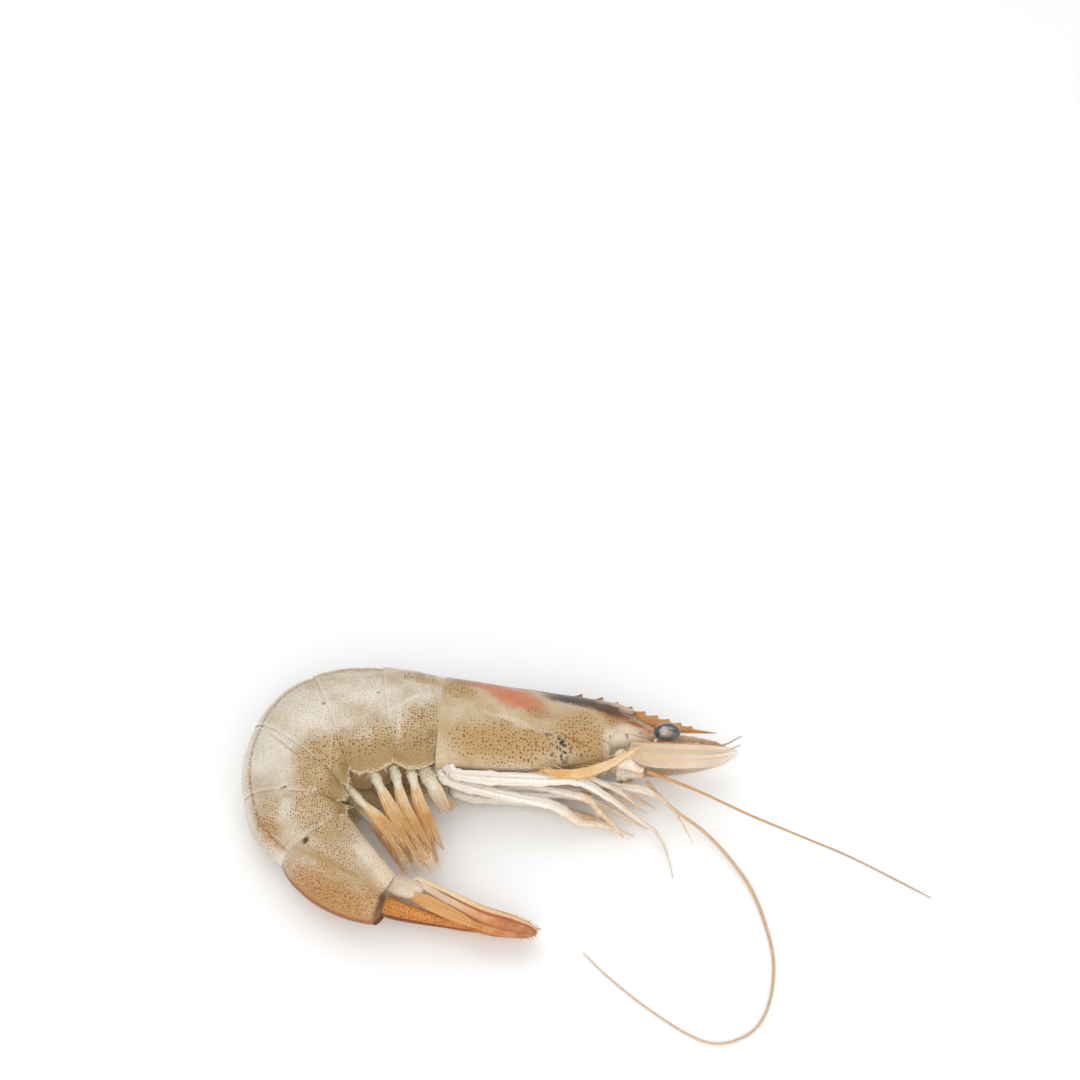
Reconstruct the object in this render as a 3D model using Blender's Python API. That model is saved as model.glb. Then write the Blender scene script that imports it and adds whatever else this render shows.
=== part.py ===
"""A raw whole prawn with its shell, head and legs on, lying curled on its left side.

Metres, +Z up. The prawn's plane of symmetry lies level, its right side faces up, its head points to +X
and its back to +Y. Every size and place below is in millimetres, measured in the prawn's own plan.
"""

import math

import bmesh
import bpy
from mathutils import Vector

MM = 0.001

# Middle of the whole outline, antennae included, in the prawn's plan: it becomes the origin
BASE_CENTRE = (19.904, -16.253)

SHELL_GAP = 0.4  # room left between neighbouring shells

# Body from the face to the end of the tail: plan x and y of the midline, height of the plane of
# symmetry above the table, half depth from back to belly, half width from side to side, and the
# heading of the midline in degrees
STATIONS = [
    (35.5, 6.9, 8.1, 3.7, 3.0, 170),
    (28.6, 8.2, 8.1, 7.0, 5.4, 176),
    (18.0, 8.4, 8.1, 9.3, 7.3, 179),
    (6.6, 8.6, 8.1, 11.0, 8.3, 178),
    (-10.2, 10.4, 8.1, 12.3, 8.5, 175.5),
    (-21.8, 11.8, 8.1, 13.7, 8.5, 188),
    (-33.9, 9.9, 8.1, 14.3, 8.4, 201),
    (-40.4, 2.2, 7.9, 13.4, 8.1, 231),
    (-41.2, -8.5, 7.5, 10.7, 7.6, 264),
    (-35.8, -16.9, 7.0, 8.5, 6.8, 304),
    (-20.9, -30.0, 6.4, 5.3, 4.8, 333),
]
FOREHEAD = 1  # station at the front edge of the carapace
COLLAR = 4  # station where the carapace ends and the abdomen begins

# Half of a cross-section: even steps from the back down to the side, then shares of the half depth
UPPER_STEPS = 6
LOWER_LEVELS = (0.25, 0.5, 0.7, 0.86, 0.96)
SIDE_SQUARENESS = 3.2
BELLY_POINTS = ((0.36, 0.86), (0.2, 0.62))  # share of half width, share of the way to the full hollow

# Shell ring: share of its length, and its size there. The front is tucked under the hem before it
SHELL_PROFILE = ((0.0, 0.945), (0.1, 0.97), (0.3, 0.995), (0.55, 1.0), (0.8, 1.012), (1.0, 1.025))
PLEURA_LOBE = 0.14  # how much shallower the side lobes are at their ends
BACK_HUMPS = (0.0, 0.0, 0.03, 0.02, 0.05, 0.4)  # extra height of the back at the middle of each ring
BACK_KEELS = (0.0, 0.0, 0.0, 0.0, 0.03, 0.03)
BELLY_HOLLOWS = (0.62, 0.62, 0.62, 0.62, 0.62, 0.9)

# Carapace: places of its rings as shares of its length, its lean at the front edge, which fades over
# so many stations, its size there and how much wider its rear hem is
CARAPACE_SHARES = (0.0, 0.05, 0.13, 0.22, 0.32, 0.43, 0.54, 0.65, 0.76, 0.86, 0.94, 1.0)
FRONT_SLANT, SLANT_REACH = 0.42, 1.3
FRONT_SIZE, FRONT_SHARE = 0.93, 0.13
HEM_FLARE = 0.012
CARAPACE_HOLLOW, CARAPACE_KEEL = 0.86, 0.03

# Face between the carapace's front edge and the eye stalks
FACE_PLACES = (0.0, 0.5, 1.0, 1.6)
FACE_SIZE, FACE_HOLLOW, FACE_LOBE = 0.8, 0.5, 0.55

ROSTRUM_UPPER = ((6.0, 16.0), (14.0, 18.3), (24.6, 17.0), (34.2, 13.8), (44.3, 10.4))
ROSTRUM_TIP = (49.2, 9.5)
ROSTRUM_LOWER = ((42.0, 9.4), (34.0, 10.6), (27.0, 11.0), (6.0, 10.0))
ROSTRUM_HALF_THICKNESS = 0.65
UPPER_TEETH = 9
UPPER_TEETH_FROM, UPPER_TEETH_TO = 18.5, 43.0
TOOTH_HEIGHT, TOOTH_LENGTH = 1.15, 2.6

# Paths of the limbs: x, y, z, half width and half thickness, from the body to the tip
EYE = (
    (35.9, 7.0, 11.3, 0.8, 0.8),
    (36.5, 6.9, 12.2, 1.5, 1.6),
    (37.3, 6.8, 12.8, 1.85, 2.0),
    (38.4, 6.7, 13.0, 1.95, 2.15),
    (39.6, 6.7, 13.0, 1.7, 1.9),
    (40.5, 6.7, 13.0, 1.1, 1.2),
    (41.0, 6.7, 13.0, 0.4, 0.45),
)
SCALE = (
    (30.0, 3.2, 12.6, 1.5, 0.35),
    (34.0, 1.8, 12.1, 2.6, 0.35),
    (42.0, 1.6, 11.7, 2.7, 0.3),
    (49.0, 2.1, 11.2, 2.1, 0.25),
    (53.2, 3.2, 10.9, 0.4, 0.2),
)
ANTENNULE = (
    (36.2, 7.6, 9.3, 0.8, 0.7),
    (40.0, 7.4, 9.3, 0.8, 0.7),
    (44.0, 7.0, 9.4, 0.65, 0.55),
    (48.6, 5.9, 9.5, 0.5, 0.4),
    (50.5, 5.6, 9.5, 0.25, 0.25),
    (54.5, 7.6, 10.0, 0.1, 0.1),
)
ANTENNA_BASE = (
    (26.9, 1.6, 10.8, 1.2, 1.2),
    (27.9, 1.5, 10.7, 2.1, 2.1),
    (29.3, 1.0, 10.3, 1.75, 1.7),
    (31.1, 0.1, 9.5, 1.05, 1.0),
    (33.0, -0.6, 9.2, 0.8, 0.75),
)
RIGHT_WHIP = (
    (33.9, -0.8, 9.2, 0.5, 0.45),
    (37.0, -2.0, 8.9, 0.36, 0.36),
    (44.9, -5.2, 8.2, 0.3, 0.3),
    (55.3, -9.9, 6.6, 0.28, 0.28),
    (65.8, -13.9, 4.8, 0.26, 0.26),
    (76.2, -17.9, 3.0, 0.24, 0.24),
    (86.4, -22.8, 1.2, 0.21, 0.21),
    (92.7, -26.2, 0.5, 0.12, 0.12),
)
LEFT_WHIP = (
    (33.8, -1.5, 6.2, 0.5, 0.45),
    (35.6, -3.2, 4.9, 0.42, 0.42),
    (39.7, -6.9, 3.4, 0.38, 0.38),
    (45.6, -11.4, 2.4, 0.38, 0.38),
    (50.5, -16.9, 1.6, 0.37, 0.37),
    (54.9, -23.8, 0.9, 0.36, 0.36),
    (57.5, -31.7, 0.5, 0.34, 0.34),
    (58.7, -40.2, 0.4, 0.31, 0.31),
    (57.4, -48.9, 0.4, 0.28, 0.28),
    (53.9, -55.1, 0.4, 0.26, 0.26),
    (47.8, -58.0, 0.4, 0.24, 0.24),
    (41.8, -56.9, 0.4, 0.22, 0.22),
    (33.0, -51.0, 0.4, 0.2, 0.2),
    (24.9, -44.0, 0.4, 0.17, 0.17),
    (19.8, -38.5, 0.4, 0.12, 0.12),
)
RIGHT_MAXILLIPED = (
    (11.6, -3.0, 13.4, 0.35, 0.3),
    (12.8, -3.3, 13.5, 0.8, 0.45),
    (16.4, -3.9, 13.5, 1.2, 0.55),
    (20.2, -3.5, 13.3, 1.4, 0.6),
    (24.9, -1.8, 13.4, 1.2, 0.55),
    (28.9, 0.4, 13.7, 0.95, 0.5),
    (31.4, 2.0, 14.0, 0.4, 0.3),
)
LEFT_MAXILLIPED = (
    (17.5, -2.2, 2.4, 0.7, 0.45),
    (20.2, -2.0, 2.2, 1.0, 0.5),
    (24.9, -1.0, 2.1, 1.0, 0.5),
    (28.9, 0.4, 2.1, 0.9, 0.5),
    (31.2, 1.8, 2.0, 0.5, 0.35),
)
LEGS = {
    "leg_right_1": (
        (18.0, -1.5, 7.6, 0.5, 0.5),
        (21.0, -2.0, 7.5, 0.6, 0.6),
        (26.6, -3.1, 7.0, 0.85, 0.6),
        (33.5, -4.3, 7.0, 0.8, 0.45),
        (39.2, -8.4, 6.0, 0.3, 0.3),
        (43.3, -15.0, 3.5, 0.1, 0.1),
    ),
    "leg_right_2": (
        (17.0, -2.2, 8.9, 0.55, 0.55),
        (21.3, -3.0, 10.0, 0.65, 0.65),
        (27.7, -5.3, 8.5, 0.5, 0.5),
        (32.4, -7.7, 4.7, 0.12, 0.12),
    ),
    "leg_right_3": (
        (2.4, -3.3, 8.6, 0.7, 0.7),
        (10.9, -4.6, 9.0, 0.8, 0.8),
        (16.4, -5.9, 9.0, 0.85, 0.8),
        (21.1, -6.9, 8.0, 0.85, 0.75),
        (23.4, -8.9, 6.5, 0.6, 0.55),
        (27.1, -11.6, 4.0, 0.4, 0.4),
        (28.6, -13.5, 3.0, 0.12, 0.12),
    ),
    "leg_right_4": (
        (-6.5, -3.7, 12.2, 0.8, 0.8),
        (0.3, -4.6, 12.1, 1.0, 0.9),
        (10.9, -4.8, 11.7, 0.9, 0.8),
        (18.5, -4.1, 11.0, 0.95, 0.85),
        (24.9, -6.4, 8.5, 0.7, 0.65),
        (31.9, -9.9, 4.5, 0.5, 0.5),
        (35.6, -11.9, 2.5, 0.35, 0.35),
        (37.8, -16.0, 1.2, 0.2, 0.2),
        (38.9, -21.6, 0.6, 0.1, 0.1),
    ),
    "leg_right_5": (
        (-9.2, -3.4, 10.2, 0.9, 0.9),
        (-4.0, -4.8, 9.6, 1.2, 1.1),
        (5.4, -6.9, 9.0, 1.1, 1.0),
        (12.2, -8.1, 8.5, 1.1, 1.0),
        (15.8, -9.1, 7.0, 1.15, 1.05),
        (19.2, -10.2, 4.5, 0.9, 0.85),
        (25.0, -10.0, 2.5, 0.7, 0.65),
        (27.8, -10.9, 1.5, 0.4, 0.4),
        (31.0, -11.7, 0.8, 0.12, 0.12),
    ),
    "leg_left_1": (
        (20.0, -1.2, 5.4, 0.45, 0.45),
        (26.0, -1.8, 4.4, 0.5, 0.5),
        (31.0, -3.4, 3.2, 0.4, 0.4),
        (36.0, -5.8, 1.6, 0.12, 0.12),
    ),
    "leg_left_2": (
        (15.5, -2.0, 5.3, 0.5, 0.5),
        (22.0, -2.5, 4.1, 0.55, 0.55),
        (28.0, -4.0, 3.2, 0.45, 0.45),
        (34.0, -6.8, 1.6, 0.12, 0.12),
    ),
    "leg_left_3": (
        (3.0, -3.0, 6.6, 0.6, 0.6),
        (10.0, -3.1, 6.7, 0.65, 0.65),
        (17.0, -3.3, 6.4, 0.65, 0.65),
        (22.0, -5.2, 5.2, 0.5, 0.5),
        (27.0, -7.2, 3.4, 0.3, 0.3),
        (30.0, -8.6, 2.7, 0.12, 0.12),
    ),
    "leg_left_4": (
        (-4.0, -3.6, 6.6, 0.7, 0.7),
        (2.0, -3.5, 4.9, 0.85, 0.85),
        (11.0, -3.4, 4.5, 0.8, 0.8),
        (18.0, -3.8, 4.0, 0.8, 0.8),
        (24.0, -5.5, 2.8, 0.6, 0.6),
        (30.0, -8.0, 1.4, 0.35, 0.35),
        (34.0, -10.2, 0.6, 0.12, 0.12),
    ),
    "leg_left_5": (
        (-7.2, -3.8, 5.4, 0.8, 0.8),
        (-3.0, -4.0, 3.6, 1.0, 1.0),
        (6.0, -3.9, 2.2, 1.0, 1.0),
        (13.0, -4.8, 2.0, 0.95, 0.95),
        (17.0, -6.2, 1.6, 0.8, 0.8),
        (22.0, -7.4, 1.2, 0.55, 0.55),
        (26.0, -8.4, 0.6, 0.15, 0.15),
    ),
}
SWIMMERETS = {
    "swimmeret_right_1": (
        (-12.6, -3.4, 10.4, 1.6, 0.9),
        (-11.1, -6.2, 10.1, 1.7, 0.7),
        (-8.9, -10.2, 9.3, 1.3, 0.4),
    ),
    "swimmeret_right_2": (
        (-16.2, -2.9, 10.9, 1.1, 0.8),
        (-14.6, -9.0, 10.5, 1.42, 0.5),
        (-12.7, -15.1, 9.5, 1.2, 0.4),
        (-11.0, -20.6, 8.5, 0.4, 0.2),
    ),
    "swimmeret_right_3": (
        (-19.6, -3.2, 11.0, 1.1, 0.8),
        (-17.8, -10.0, 10.8, 1.42, 0.5),
        (-15.6, -16.5, 10.0, 1.1, 0.4),
        (-13.1, -21.1, 9.0, 0.4, 0.2),
    ),
    "swimmeret_right_4": (
        (-23.6, -4.2, 11.2, 1.1, 0.8),
        (-20.9, -9.7, 10.9, 1.42, 0.5),
        (-18.0, -16.0, 10.0, 1.0, 0.4),
        (-15.5, -20.2, 9.0, 0.4, 0.2),
    ),
    "swimmeret_right_5": (
        (-27.4, -8.2, 10.6, 0.9, 0.7),
        (-24.2, -11.6, 10.2, 1.1, 0.5),
        (-20.6, -16.3, 9.0, 0.9, 0.4),
        (-17.9, -20.3, 7.4, 0.3, 0.2),
    ),
    "swimmeret_left_1": (
        (-11.6, -3.0, 5.4, 1.3, 0.9),
        (-9.6, -5.0, 5.2, 1.4, 0.7),
        (-7.3, -7.2, 4.8, 1.0, 0.4),
    ),
    "swimmeret_left_2": (
        (-15.6, -2.9, 5.4, 1.0, 0.8),
        (-14.2, -9.0, 5.0, 1.2, 0.5),
        (-12.4, -14.6, 4.2, 1.1, 0.4),
        (-11.0, -18.4, 3.4, 0.4, 0.2),
    ),
    "swimmeret_left_3": (
        (-19.2, -3.2, 5.2, 1.0, 0.8),
        (-17.6, -9.4, 4.8, 1.2, 0.5),
        (-15.6, -15.4, 4.0, 1.0, 0.4),
        (-13.8, -19.2, 3.2, 0.4, 0.2),
    ),
    "swimmeret_left_4": (
        (-23.0, -4.2, 5.0, 1.0, 0.8),
        (-20.7, -9.4, 4.6, 1.2, 0.5),
        (-18.2, -15.2, 3.8, 1.0, 0.4),
        (-16.2, -18.8, 3.2, 0.4, 0.2),
    ),
    "swimmeret_left_5": (
        (-27.0, -8.4, 5.0, 0.9, 0.7),
        (-23.8, -11.8, 4.8, 1.0, 0.5),
        (-20.4, -16.6, 4.2, 0.9, 0.4),
        (-17.6, -21.4, 3.4, 0.3, 0.2),
    ),
}
TELSON = (
    (-20.3, -31.1, 6.6, 2.8, 1.9),
    (-18.0, -32.2, 6.8, 3.0, 1.6),
    (-14.0, -33.3, 6.7, 2.6, 1.3),
    (-9.5, -34.3, 6.4, 1.9, 1.0),
    (-5.0, -35.2, 6.1, 1.1, 0.7),
    (-1.8, -35.8, 5.7, 0.25, 0.25),
)
UROPOD_STEM = (
    (-18.8, -27.8, 9.0, 1.8, 1.2),
    (-17.3, -28.2, 9.3, 2.1, 1.4),
    (-15.9, -28.6, 9.4, 1.8, 1.1),
)
OUTER_BLADE = (
    (-15.0, -27.2, 9.2, 1.0, 0.4),
    (-13.4, -27.7, 9.4, 1.4, 0.45),
    (-7.5, -31.3, 9.3, 2.0, 0.45),
    (-1.3, -34.5, 8.6, 2.4, 0.4),
    (3.9, -35.9, 7.8, 2.4, 0.35),
    (8.2, -36.6, 6.8, 1.7, 0.3),
    (10.2, -37.0, 6.1, 0.5, 0.2),
)
INNER_BLADE = (
    (-15.0, -30.4, 9.8, 1.0, 0.35),
    (-11.5, -32.3, 10.2, 1.4, 0.4),
    (-6.3, -34.9, 9.9, 1.2, 0.35),
    (-0.8, -37.3, 9.0, 0.35, 0.2),
)
HEAD_PLANE = 8.1  # height of the plane of symmetry at the head
TAIL_PLANE = 6.2  # and at the root of the tail fan, from where it sinks towards the tip
TAIL_SINK = 0.05
SCALE_TUCK, OUTER_TUCK, INNER_TUCK = 2.4, 1.6, 2.6  # how far the left ones lie towards the back

# Directions in which the limbs are broad
FACING = (0.0, 0.85, 0.5)
FACING_LEFT = (0.0, 0.85, -0.5)
UPWARD = (0.0, 1.0, 0.0)
ACROSS_TAIL = (0.0, 0.0, 1.0)
STEM_BREADTH = (0.63, 0.77, 0.0)
SIDEWAYS = (0.9, 0.1, 0.3)

SHELL_COLOUR = (0.66, 0.60, 0.50)
HEAD_COLOUR = (0.62, 0.50, 0.36)
TAIL_COLOUR = (0.72, 0.42, 0.18)
LIMB_COLOUR = (0.82, 0.72, 0.62)
SWIMMER_COLOUR = (0.78, 0.52, 0.26)
WHISKER_COLOUR = (0.60, 0.40, 0.26)
EYE_COLOUR = (0.06, 0.05, 0.05)


def material(name, colour, roughness):
    made = bpy.data.materials.new(name)
    made.use_nodes = True
    shader = made.node_tree.nodes["Principled BSDF"]
    shader.inputs["Base Color"].default_value = (*colour, 1)
    shader.inputs["Roughness"].default_value = roughness
    shader.inputs["Metallic"].default_value = 0
    return made


def spline(rows, place):
    """A smooth curve through equal-length rows of numbers, read at a place counted in rows."""
    last = len(rows) - 1
    first = min(max(int(place), 0), last - 1)
    t = place - first
    before, here, there, after = (rows[min(max(first + k, 0), last)] for k in (-1, 0, 1, 2))
    return [
        b + 0.5 * t * (c - a + t * (2 * a - 5 * b + 4 * c - d + t * (3 * (b - c) + d - a)))
        for a, b, c, d in zip(before, here, there, after)
    ]


def body_frame(place):
    """Midline point, direction towards the tail, direction of the back, and both half sizes."""
    x, y, z, depth, width, heading = spline(STATIONS, place)
    turn = math.radians(heading)
    tailward = Vector((math.cos(turn), math.sin(turn), 0))
    back = Vector((tailward.y, -tailward.x, 0))
    return Vector((x, y, z)), tailward, back, depth, width


def shell_section(depth, width, hollow, lobe, keel, hump):
    """(side, height) points from the back down the right side, over the belly and up the left."""
    right = []
    for step in range(1, UPPER_STEPS + 1):
        angle = math.pi / 2 * step / UPPER_STEPS
        right.append((width * math.sin(angle), depth * (1 + hump) * math.cos(angle)))
    for level in LOWER_LEVELS:
        side = (1 - level**SIDE_SQUARENESS) ** (1 / SIDE_SQUARENESS)
        right.append((width * side, -depth * lobe * level))
    edge = right[-1][1]
    for side, share in BELLY_POINTS:
        right.append((width * side, edge + (1 - share) * (-depth * hollow - edge)))
    middle = (0.0, -depth * hollow)
    left = [(-side, height) for side, height in reversed(right)]
    return [(0.0, depth * (1 + hump + keel)), *right, middle, *left]


def shell_ring(place, size, hollow, lobe=1.0, keel=0.0, slant=0.0, hump=0.0):
    """Points of the cross-section at a place along the body, leaning forwards by slant."""
    centre, tailward, back, depth, width = body_frame(place)
    points = []
    for side, height in shell_section(depth * size, width * size, hollow, lobe, keel, hump):
        point = centre + Vector((0, 0, side)) + back * height
        points.append(point - tailward * slant * height)
    return points


def loft(name, rings):
    """A closed solid through rings of points, each with as many points as the others."""
    mesh_maker = bmesh.new()
    loops = []
    for ring in rings:
        verts = [mesh_maker.verts.new(point * MM) for point in ring]
        loops.append([mesh_maker.edges.new((a, b)) for a, b in zip(verts, verts[1:] + verts[:1])])
    for one, other in zip(loops, loops[1:]):
        bmesh.ops.bridge_loops(mesh_maker, edges=one + other)
    for end in (loops[0], loops[-1]):
        bmesh.ops.contextual_create(mesh_maker, geom=end)
    bmesh.ops.recalc_face_normals(mesh_maker, faces=mesh_maker.faces)
    if mesh_maker.calc_volume(signed=True) < 0:
        bmesh.ops.reverse_faces(mesh_maker, faces=mesh_maker.faces)
    return finish_mesh(name, mesh_maker)


def finish_mesh(name, mesh_maker):
    mesh = bpy.data.meshes.new(name)
    mesh_maker.to_mesh(mesh)
    mesh_maker.free()
    obj = bpy.data.objects.new(name, mesh)
    bpy.context.scene.collection.objects.link(obj)
    return obj


def rest_on_table(obj):
    """Cuts off what would sink into the table, which leaves the flat spot that the prawn lies on."""
    mesh_maker = bmesh.new()
    mesh_maker.from_mesh(obj.data)
    everything = [*mesh_maker.verts, *mesh_maker.edges, *mesh_maker.faces]
    cut = bmesh.ops.bisect_plane(
        mesh_maker, geom=everything, plane_co=(0, 0, 0), plane_no=(0, 0, -1), clear_outer=True
    )
    edges = [item for item in cut["geom_cut"] if isinstance(item, bmesh.types.BMEdge)]
    if edges:
        bmesh.ops.holes_fill(mesh_maker, edges=edges)
    mesh_maker.to_mesh(obj.data)
    mesh_maker.free()


def fuse(name, pieces):
    """Joins overlapping pieces into one solid, and removes them."""
    together = bpy.data.collections.new(name + "_parts")
    bpy.context.scene.collection.children.link(together)
    first, *others = pieces
    for piece in others:
        bpy.context.scene.collection.objects.unlink(piece)
        together.objects.link(piece)
    union = first.modifiers.new("Union", "BOOLEAN")
    union.operation = "UNION"
    union.operand_type = "COLLECTION"
    union.collection = together
    union.solver = "EXACT"
    bpy.context.view_layer.update()
    graph = bpy.context.evaluated_depsgraph_get()
    mesh = bpy.data.meshes.new_from_object(first.evaluated_get(graph))
    first.modifiers.clear()
    first.data = mesh
    first.name = name
    for piece in others:
        bpy.data.objects.remove(piece)
    bpy.data.collections.remove(together)
    return first


def limb(name, points, across, sides=6, steps=2):
    """A tapering limb or blade. Each point is x, y, z, half width and half thickness, and the width
    lies along across as nearly as the limb's own direction lets it."""
    places = [i / steps for i in range((len(points) - 1) * steps + 1)]
    rows = [spline(points, place) for place in places]
    rings = []
    for i, row in enumerate(rows):
        after, before = rows[min(i + 1, len(rows) - 1)], rows[max(i - 1, 0)]
        along = (Vector(after[:3]) - Vector(before[:3])).normalized()
        wide = Vector(across)
        wide = (wide - along * wide.dot(along)).normalized()
        thick = along.cross(wide)
        turns = [2 * math.pi * (k + 0.5) / sides for k in range(sides)]
        rings.append(
            [
                Vector(row[:3]) + wide * row[3] * math.cos(turn) + thick * row[4] * math.sin(turn)
                for turn in turns
            ]
        )
    return loft(name, rings)


def mirrored(points, plane=HEAD_PLANE, sink=0.0, tuck=0.0):
    """The same limb on the left side of the prawn, its tip tucked in towards the back."""
    root, tip = points[0][0], points[-1][0]
    made = []
    for x, y, z, width, thickness in points:
        share = (x - root) / (tip - root)
        made.append((x, y + tuck * share, 2 * (plane - sink * (x - root)) - z, width, thickness))
    return made


def build_carapace():
    """The head shield, closed below where the legs begin, with its toothed rostrum and the face."""
    length = (Vector(STATIONS[COLLAR][:2]) - Vector(STATIONS[COLLAR - 1][:2])).length
    end = COLLAR - SHELL_GAP / 2 / length
    rings = []
    for share in CARAPACE_SHARES:
        place = FOREHEAD + (end - FOREHEAD) * share
        slant = FRONT_SLANT * max(0.0, 1 - (place - FOREHEAD) / SLANT_REACH)
        size = FRONT_SIZE + (1 - FRONT_SIZE) * min(1.0, share / FRONT_SHARE) + HEM_FLARE * share
        rings.append(shell_ring(place, size, CARAPACE_HOLLOW, keel=CARAPACE_KEEL, slant=slant))
    shield = loft("carapace", rings)
    rest_on_table(shield)
    face = loft("face", [shell_ring(place, FACE_SIZE, FACE_HOLLOW, FACE_LOBE) for place in FACE_PLACES])
    return fuse("carapace", [shield, face, build_rostrum()])


def build_rostrum():
    """The saw-edged blade over the eyes, standing in the plane of symmetry."""
    upper = list(ROSTRUM_UPPER)
    outline = [upper[0]]
    for tooth in range(UPPER_TEETH):
        x = UPPER_TEETH_FROM + (UPPER_TEETH_TO - UPPER_TEETH_FROM) * (tooth / (UPPER_TEETH - 1)) ** 0.8
        fade = 1 - 0.5 * tooth / (UPPER_TEETH - 1)
        length = TOOTH_LENGTH * fade + 0.5
        outline.append((x - length * 0.45, edge_height(upper, x - length * 0.45)))
        tip_x = x + length * 0.55
        outline.append((tip_x, edge_height(upper, tip_x) + TOOTH_HEIGHT * fade))
        outline.append((tip_x - 0.25, edge_height(upper, tip_x - 0.25) + 0.1))
    outline += [upper[-1], ROSTRUM_TIP, *ROSTRUM_LOWER]
    mesh_maker = bmesh.new()
    low = HEAD_PLANE - ROSTRUM_HALF_THICKNESS
    verts = [mesh_maker.verts.new(Vector((x, y, low)) * MM) for x, y in outline]
    face = mesh_maker.faces.new(verts)
    raised = bmesh.ops.extrude_face_region(mesh_maker, geom=[face])
    top = [item for item in raised["geom"] if isinstance(item, bmesh.types.BMVert)]
    bmesh.ops.translate(mesh_maker, vec=(0, 0, 2 * ROSTRUM_HALF_THICKNESS * MM), verts=top)
    bmesh.ops.recalc_face_normals(mesh_maker, faces=mesh_maker.faces)
    return finish_mesh("rostrum", mesh_maker)


def edge_height(points, x):
    """Height of a straight-sided edge at x."""
    for (x0, y0), (x1, y1) in zip(points, points[1:]):
        if x <= x1:
            return y0 + (y1 - y0) * (x - x0) / (x1 - x0)
    return points[-1][1]


def build_abdomen():
    """Six shell rings with their flesh, each tucked under the hem of the one before."""
    made = []
    for number, (tall, keel, hollow) in enumerate(zip(BACK_HUMPS, BACK_KEELS, BELLY_HOLLOWS)):
        start = COLLAR + number
        length = (Vector(STATIONS[start + 1][:2]) - Vector(STATIONS[start][:2])).length
        trim = SHELL_GAP / 2 / length
        rings = []
        for share, size in SHELL_PROFILE:
            place = start + trim + (1 - 2 * trim) * share
            lobe = 1.0
            if number < len(BACK_HUMPS) - 1:
                lobe -= PLEURA_LOBE * (1 - math.sin(math.pi * (0.1 + 0.8 * share)))
            hump = tall * math.sin(math.pi * share)
            rings.append(shell_ring(place, size, hollow, lobe, keel, hump=hump))
        ring = loft(f"abdomen_{number + 1}", rings)
        rest_on_table(ring)
        made.append(ring)
    return made


bpy.context.scene.unit_settings.scale_length = 1.0
for old in list(bpy.data.objects):
    bpy.data.objects.remove(old)

prawn = bpy.data.objects.new("prawn", None)
bpy.context.scene.collection.objects.link(prawn)
prawn.location = (-BASE_CENTRE[0] * MM, -BASE_CENTRE[1] * MM, 0)

shell_finish = material("shell", SHELL_COLOUR, 0.3)
head_finish = material("head", HEAD_COLOUR, 0.3)
tail_finish = material("tail_fan", TAIL_COLOUR, 0.3)
limb_finish = material("limb", LIMB_COLOUR, 0.35)
swimmer_finish = material("swimmeret", SWIMMER_COLOUR, 0.35)
whisker_finish = material("whisker", WHISKER_COLOUR, 0.4)
eye_finish = material("eye", EYE_COLOUR, 0.1)

finished = [(build_carapace(), head_finish)]
finished += [(ring, shell_finish) for ring in build_abdomen()]
finished.append((limb("telson", TELSON, ACROSS_TAIL, sides=8), tail_finish))
for side, turned, facing in (("right", list, FACING), ("left", mirrored, FACING_LEFT)):
    stem, outer, inner, scale = UROPOD_STEM, OUTER_BLADE, INNER_BLADE, SCALE
    if side == "left":
        stem = mirrored(stem, TAIL_PLANE, TAIL_SINK)
        outer = mirrored(outer, TAIL_PLANE, TAIL_SINK, OUTER_TUCK)
        inner = mirrored(inner, TAIL_PLANE, TAIL_SINK, INNER_TUCK)
        scale = mirrored(scale, tuck=SCALE_TUCK)
    finished.append((limb(f"tail_stem_{side}", stem, STEM_BREADTH, sides=8), tail_finish))
    finished.append((limb(f"tail_blade_outer_{side}", outer, facing, sides=8), tail_finish))
    finished.append((limb(f"tail_blade_inner_{side}", inner, facing, sides=8), tail_finish))
    finished.append((limb(f"eye_{side}", turned(EYE), UPWARD, sides=12), eye_finish))
    finished.append((limb(f"antennal_scale_{side}", scale, facing, sides=8), limb_finish))
    finished.append((limb(f"antennule_{side}", turned(ANTENNULE), facing, sides=6), limb_finish))
    finished.append((limb(f"antenna_base_{side}", turned(ANTENNA_BASE), UPWARD, sides=8), limb_finish))
finished.append((limb("antenna_whip_right", RIGHT_WHIP, UPWARD, sides=6), whisker_finish))
finished.append((limb("antenna_whip_left", LEFT_WHIP, UPWARD, sides=6), whisker_finish))
finished.append((limb("maxilliped_right", RIGHT_MAXILLIPED, FACING, sides=6), limb_finish))
finished.append((limb("maxilliped_left", LEFT_MAXILLIPED, FACING_LEFT, sides=6), limb_finish))
for name, points in LEGS.items():
    finished.append((limb(name, points, FACING, sides=6), limb_finish))
for name, points in SWIMMERETS.items():
    finished.append((limb(name, points, SIDEWAYS, sides=8), swimmer_finish))
for obj, finish in finished:
    obj.parent = prawn
    obj.data.materials.clear()
    obj.data.materials.append(finish)
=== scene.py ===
import math
import random

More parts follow.
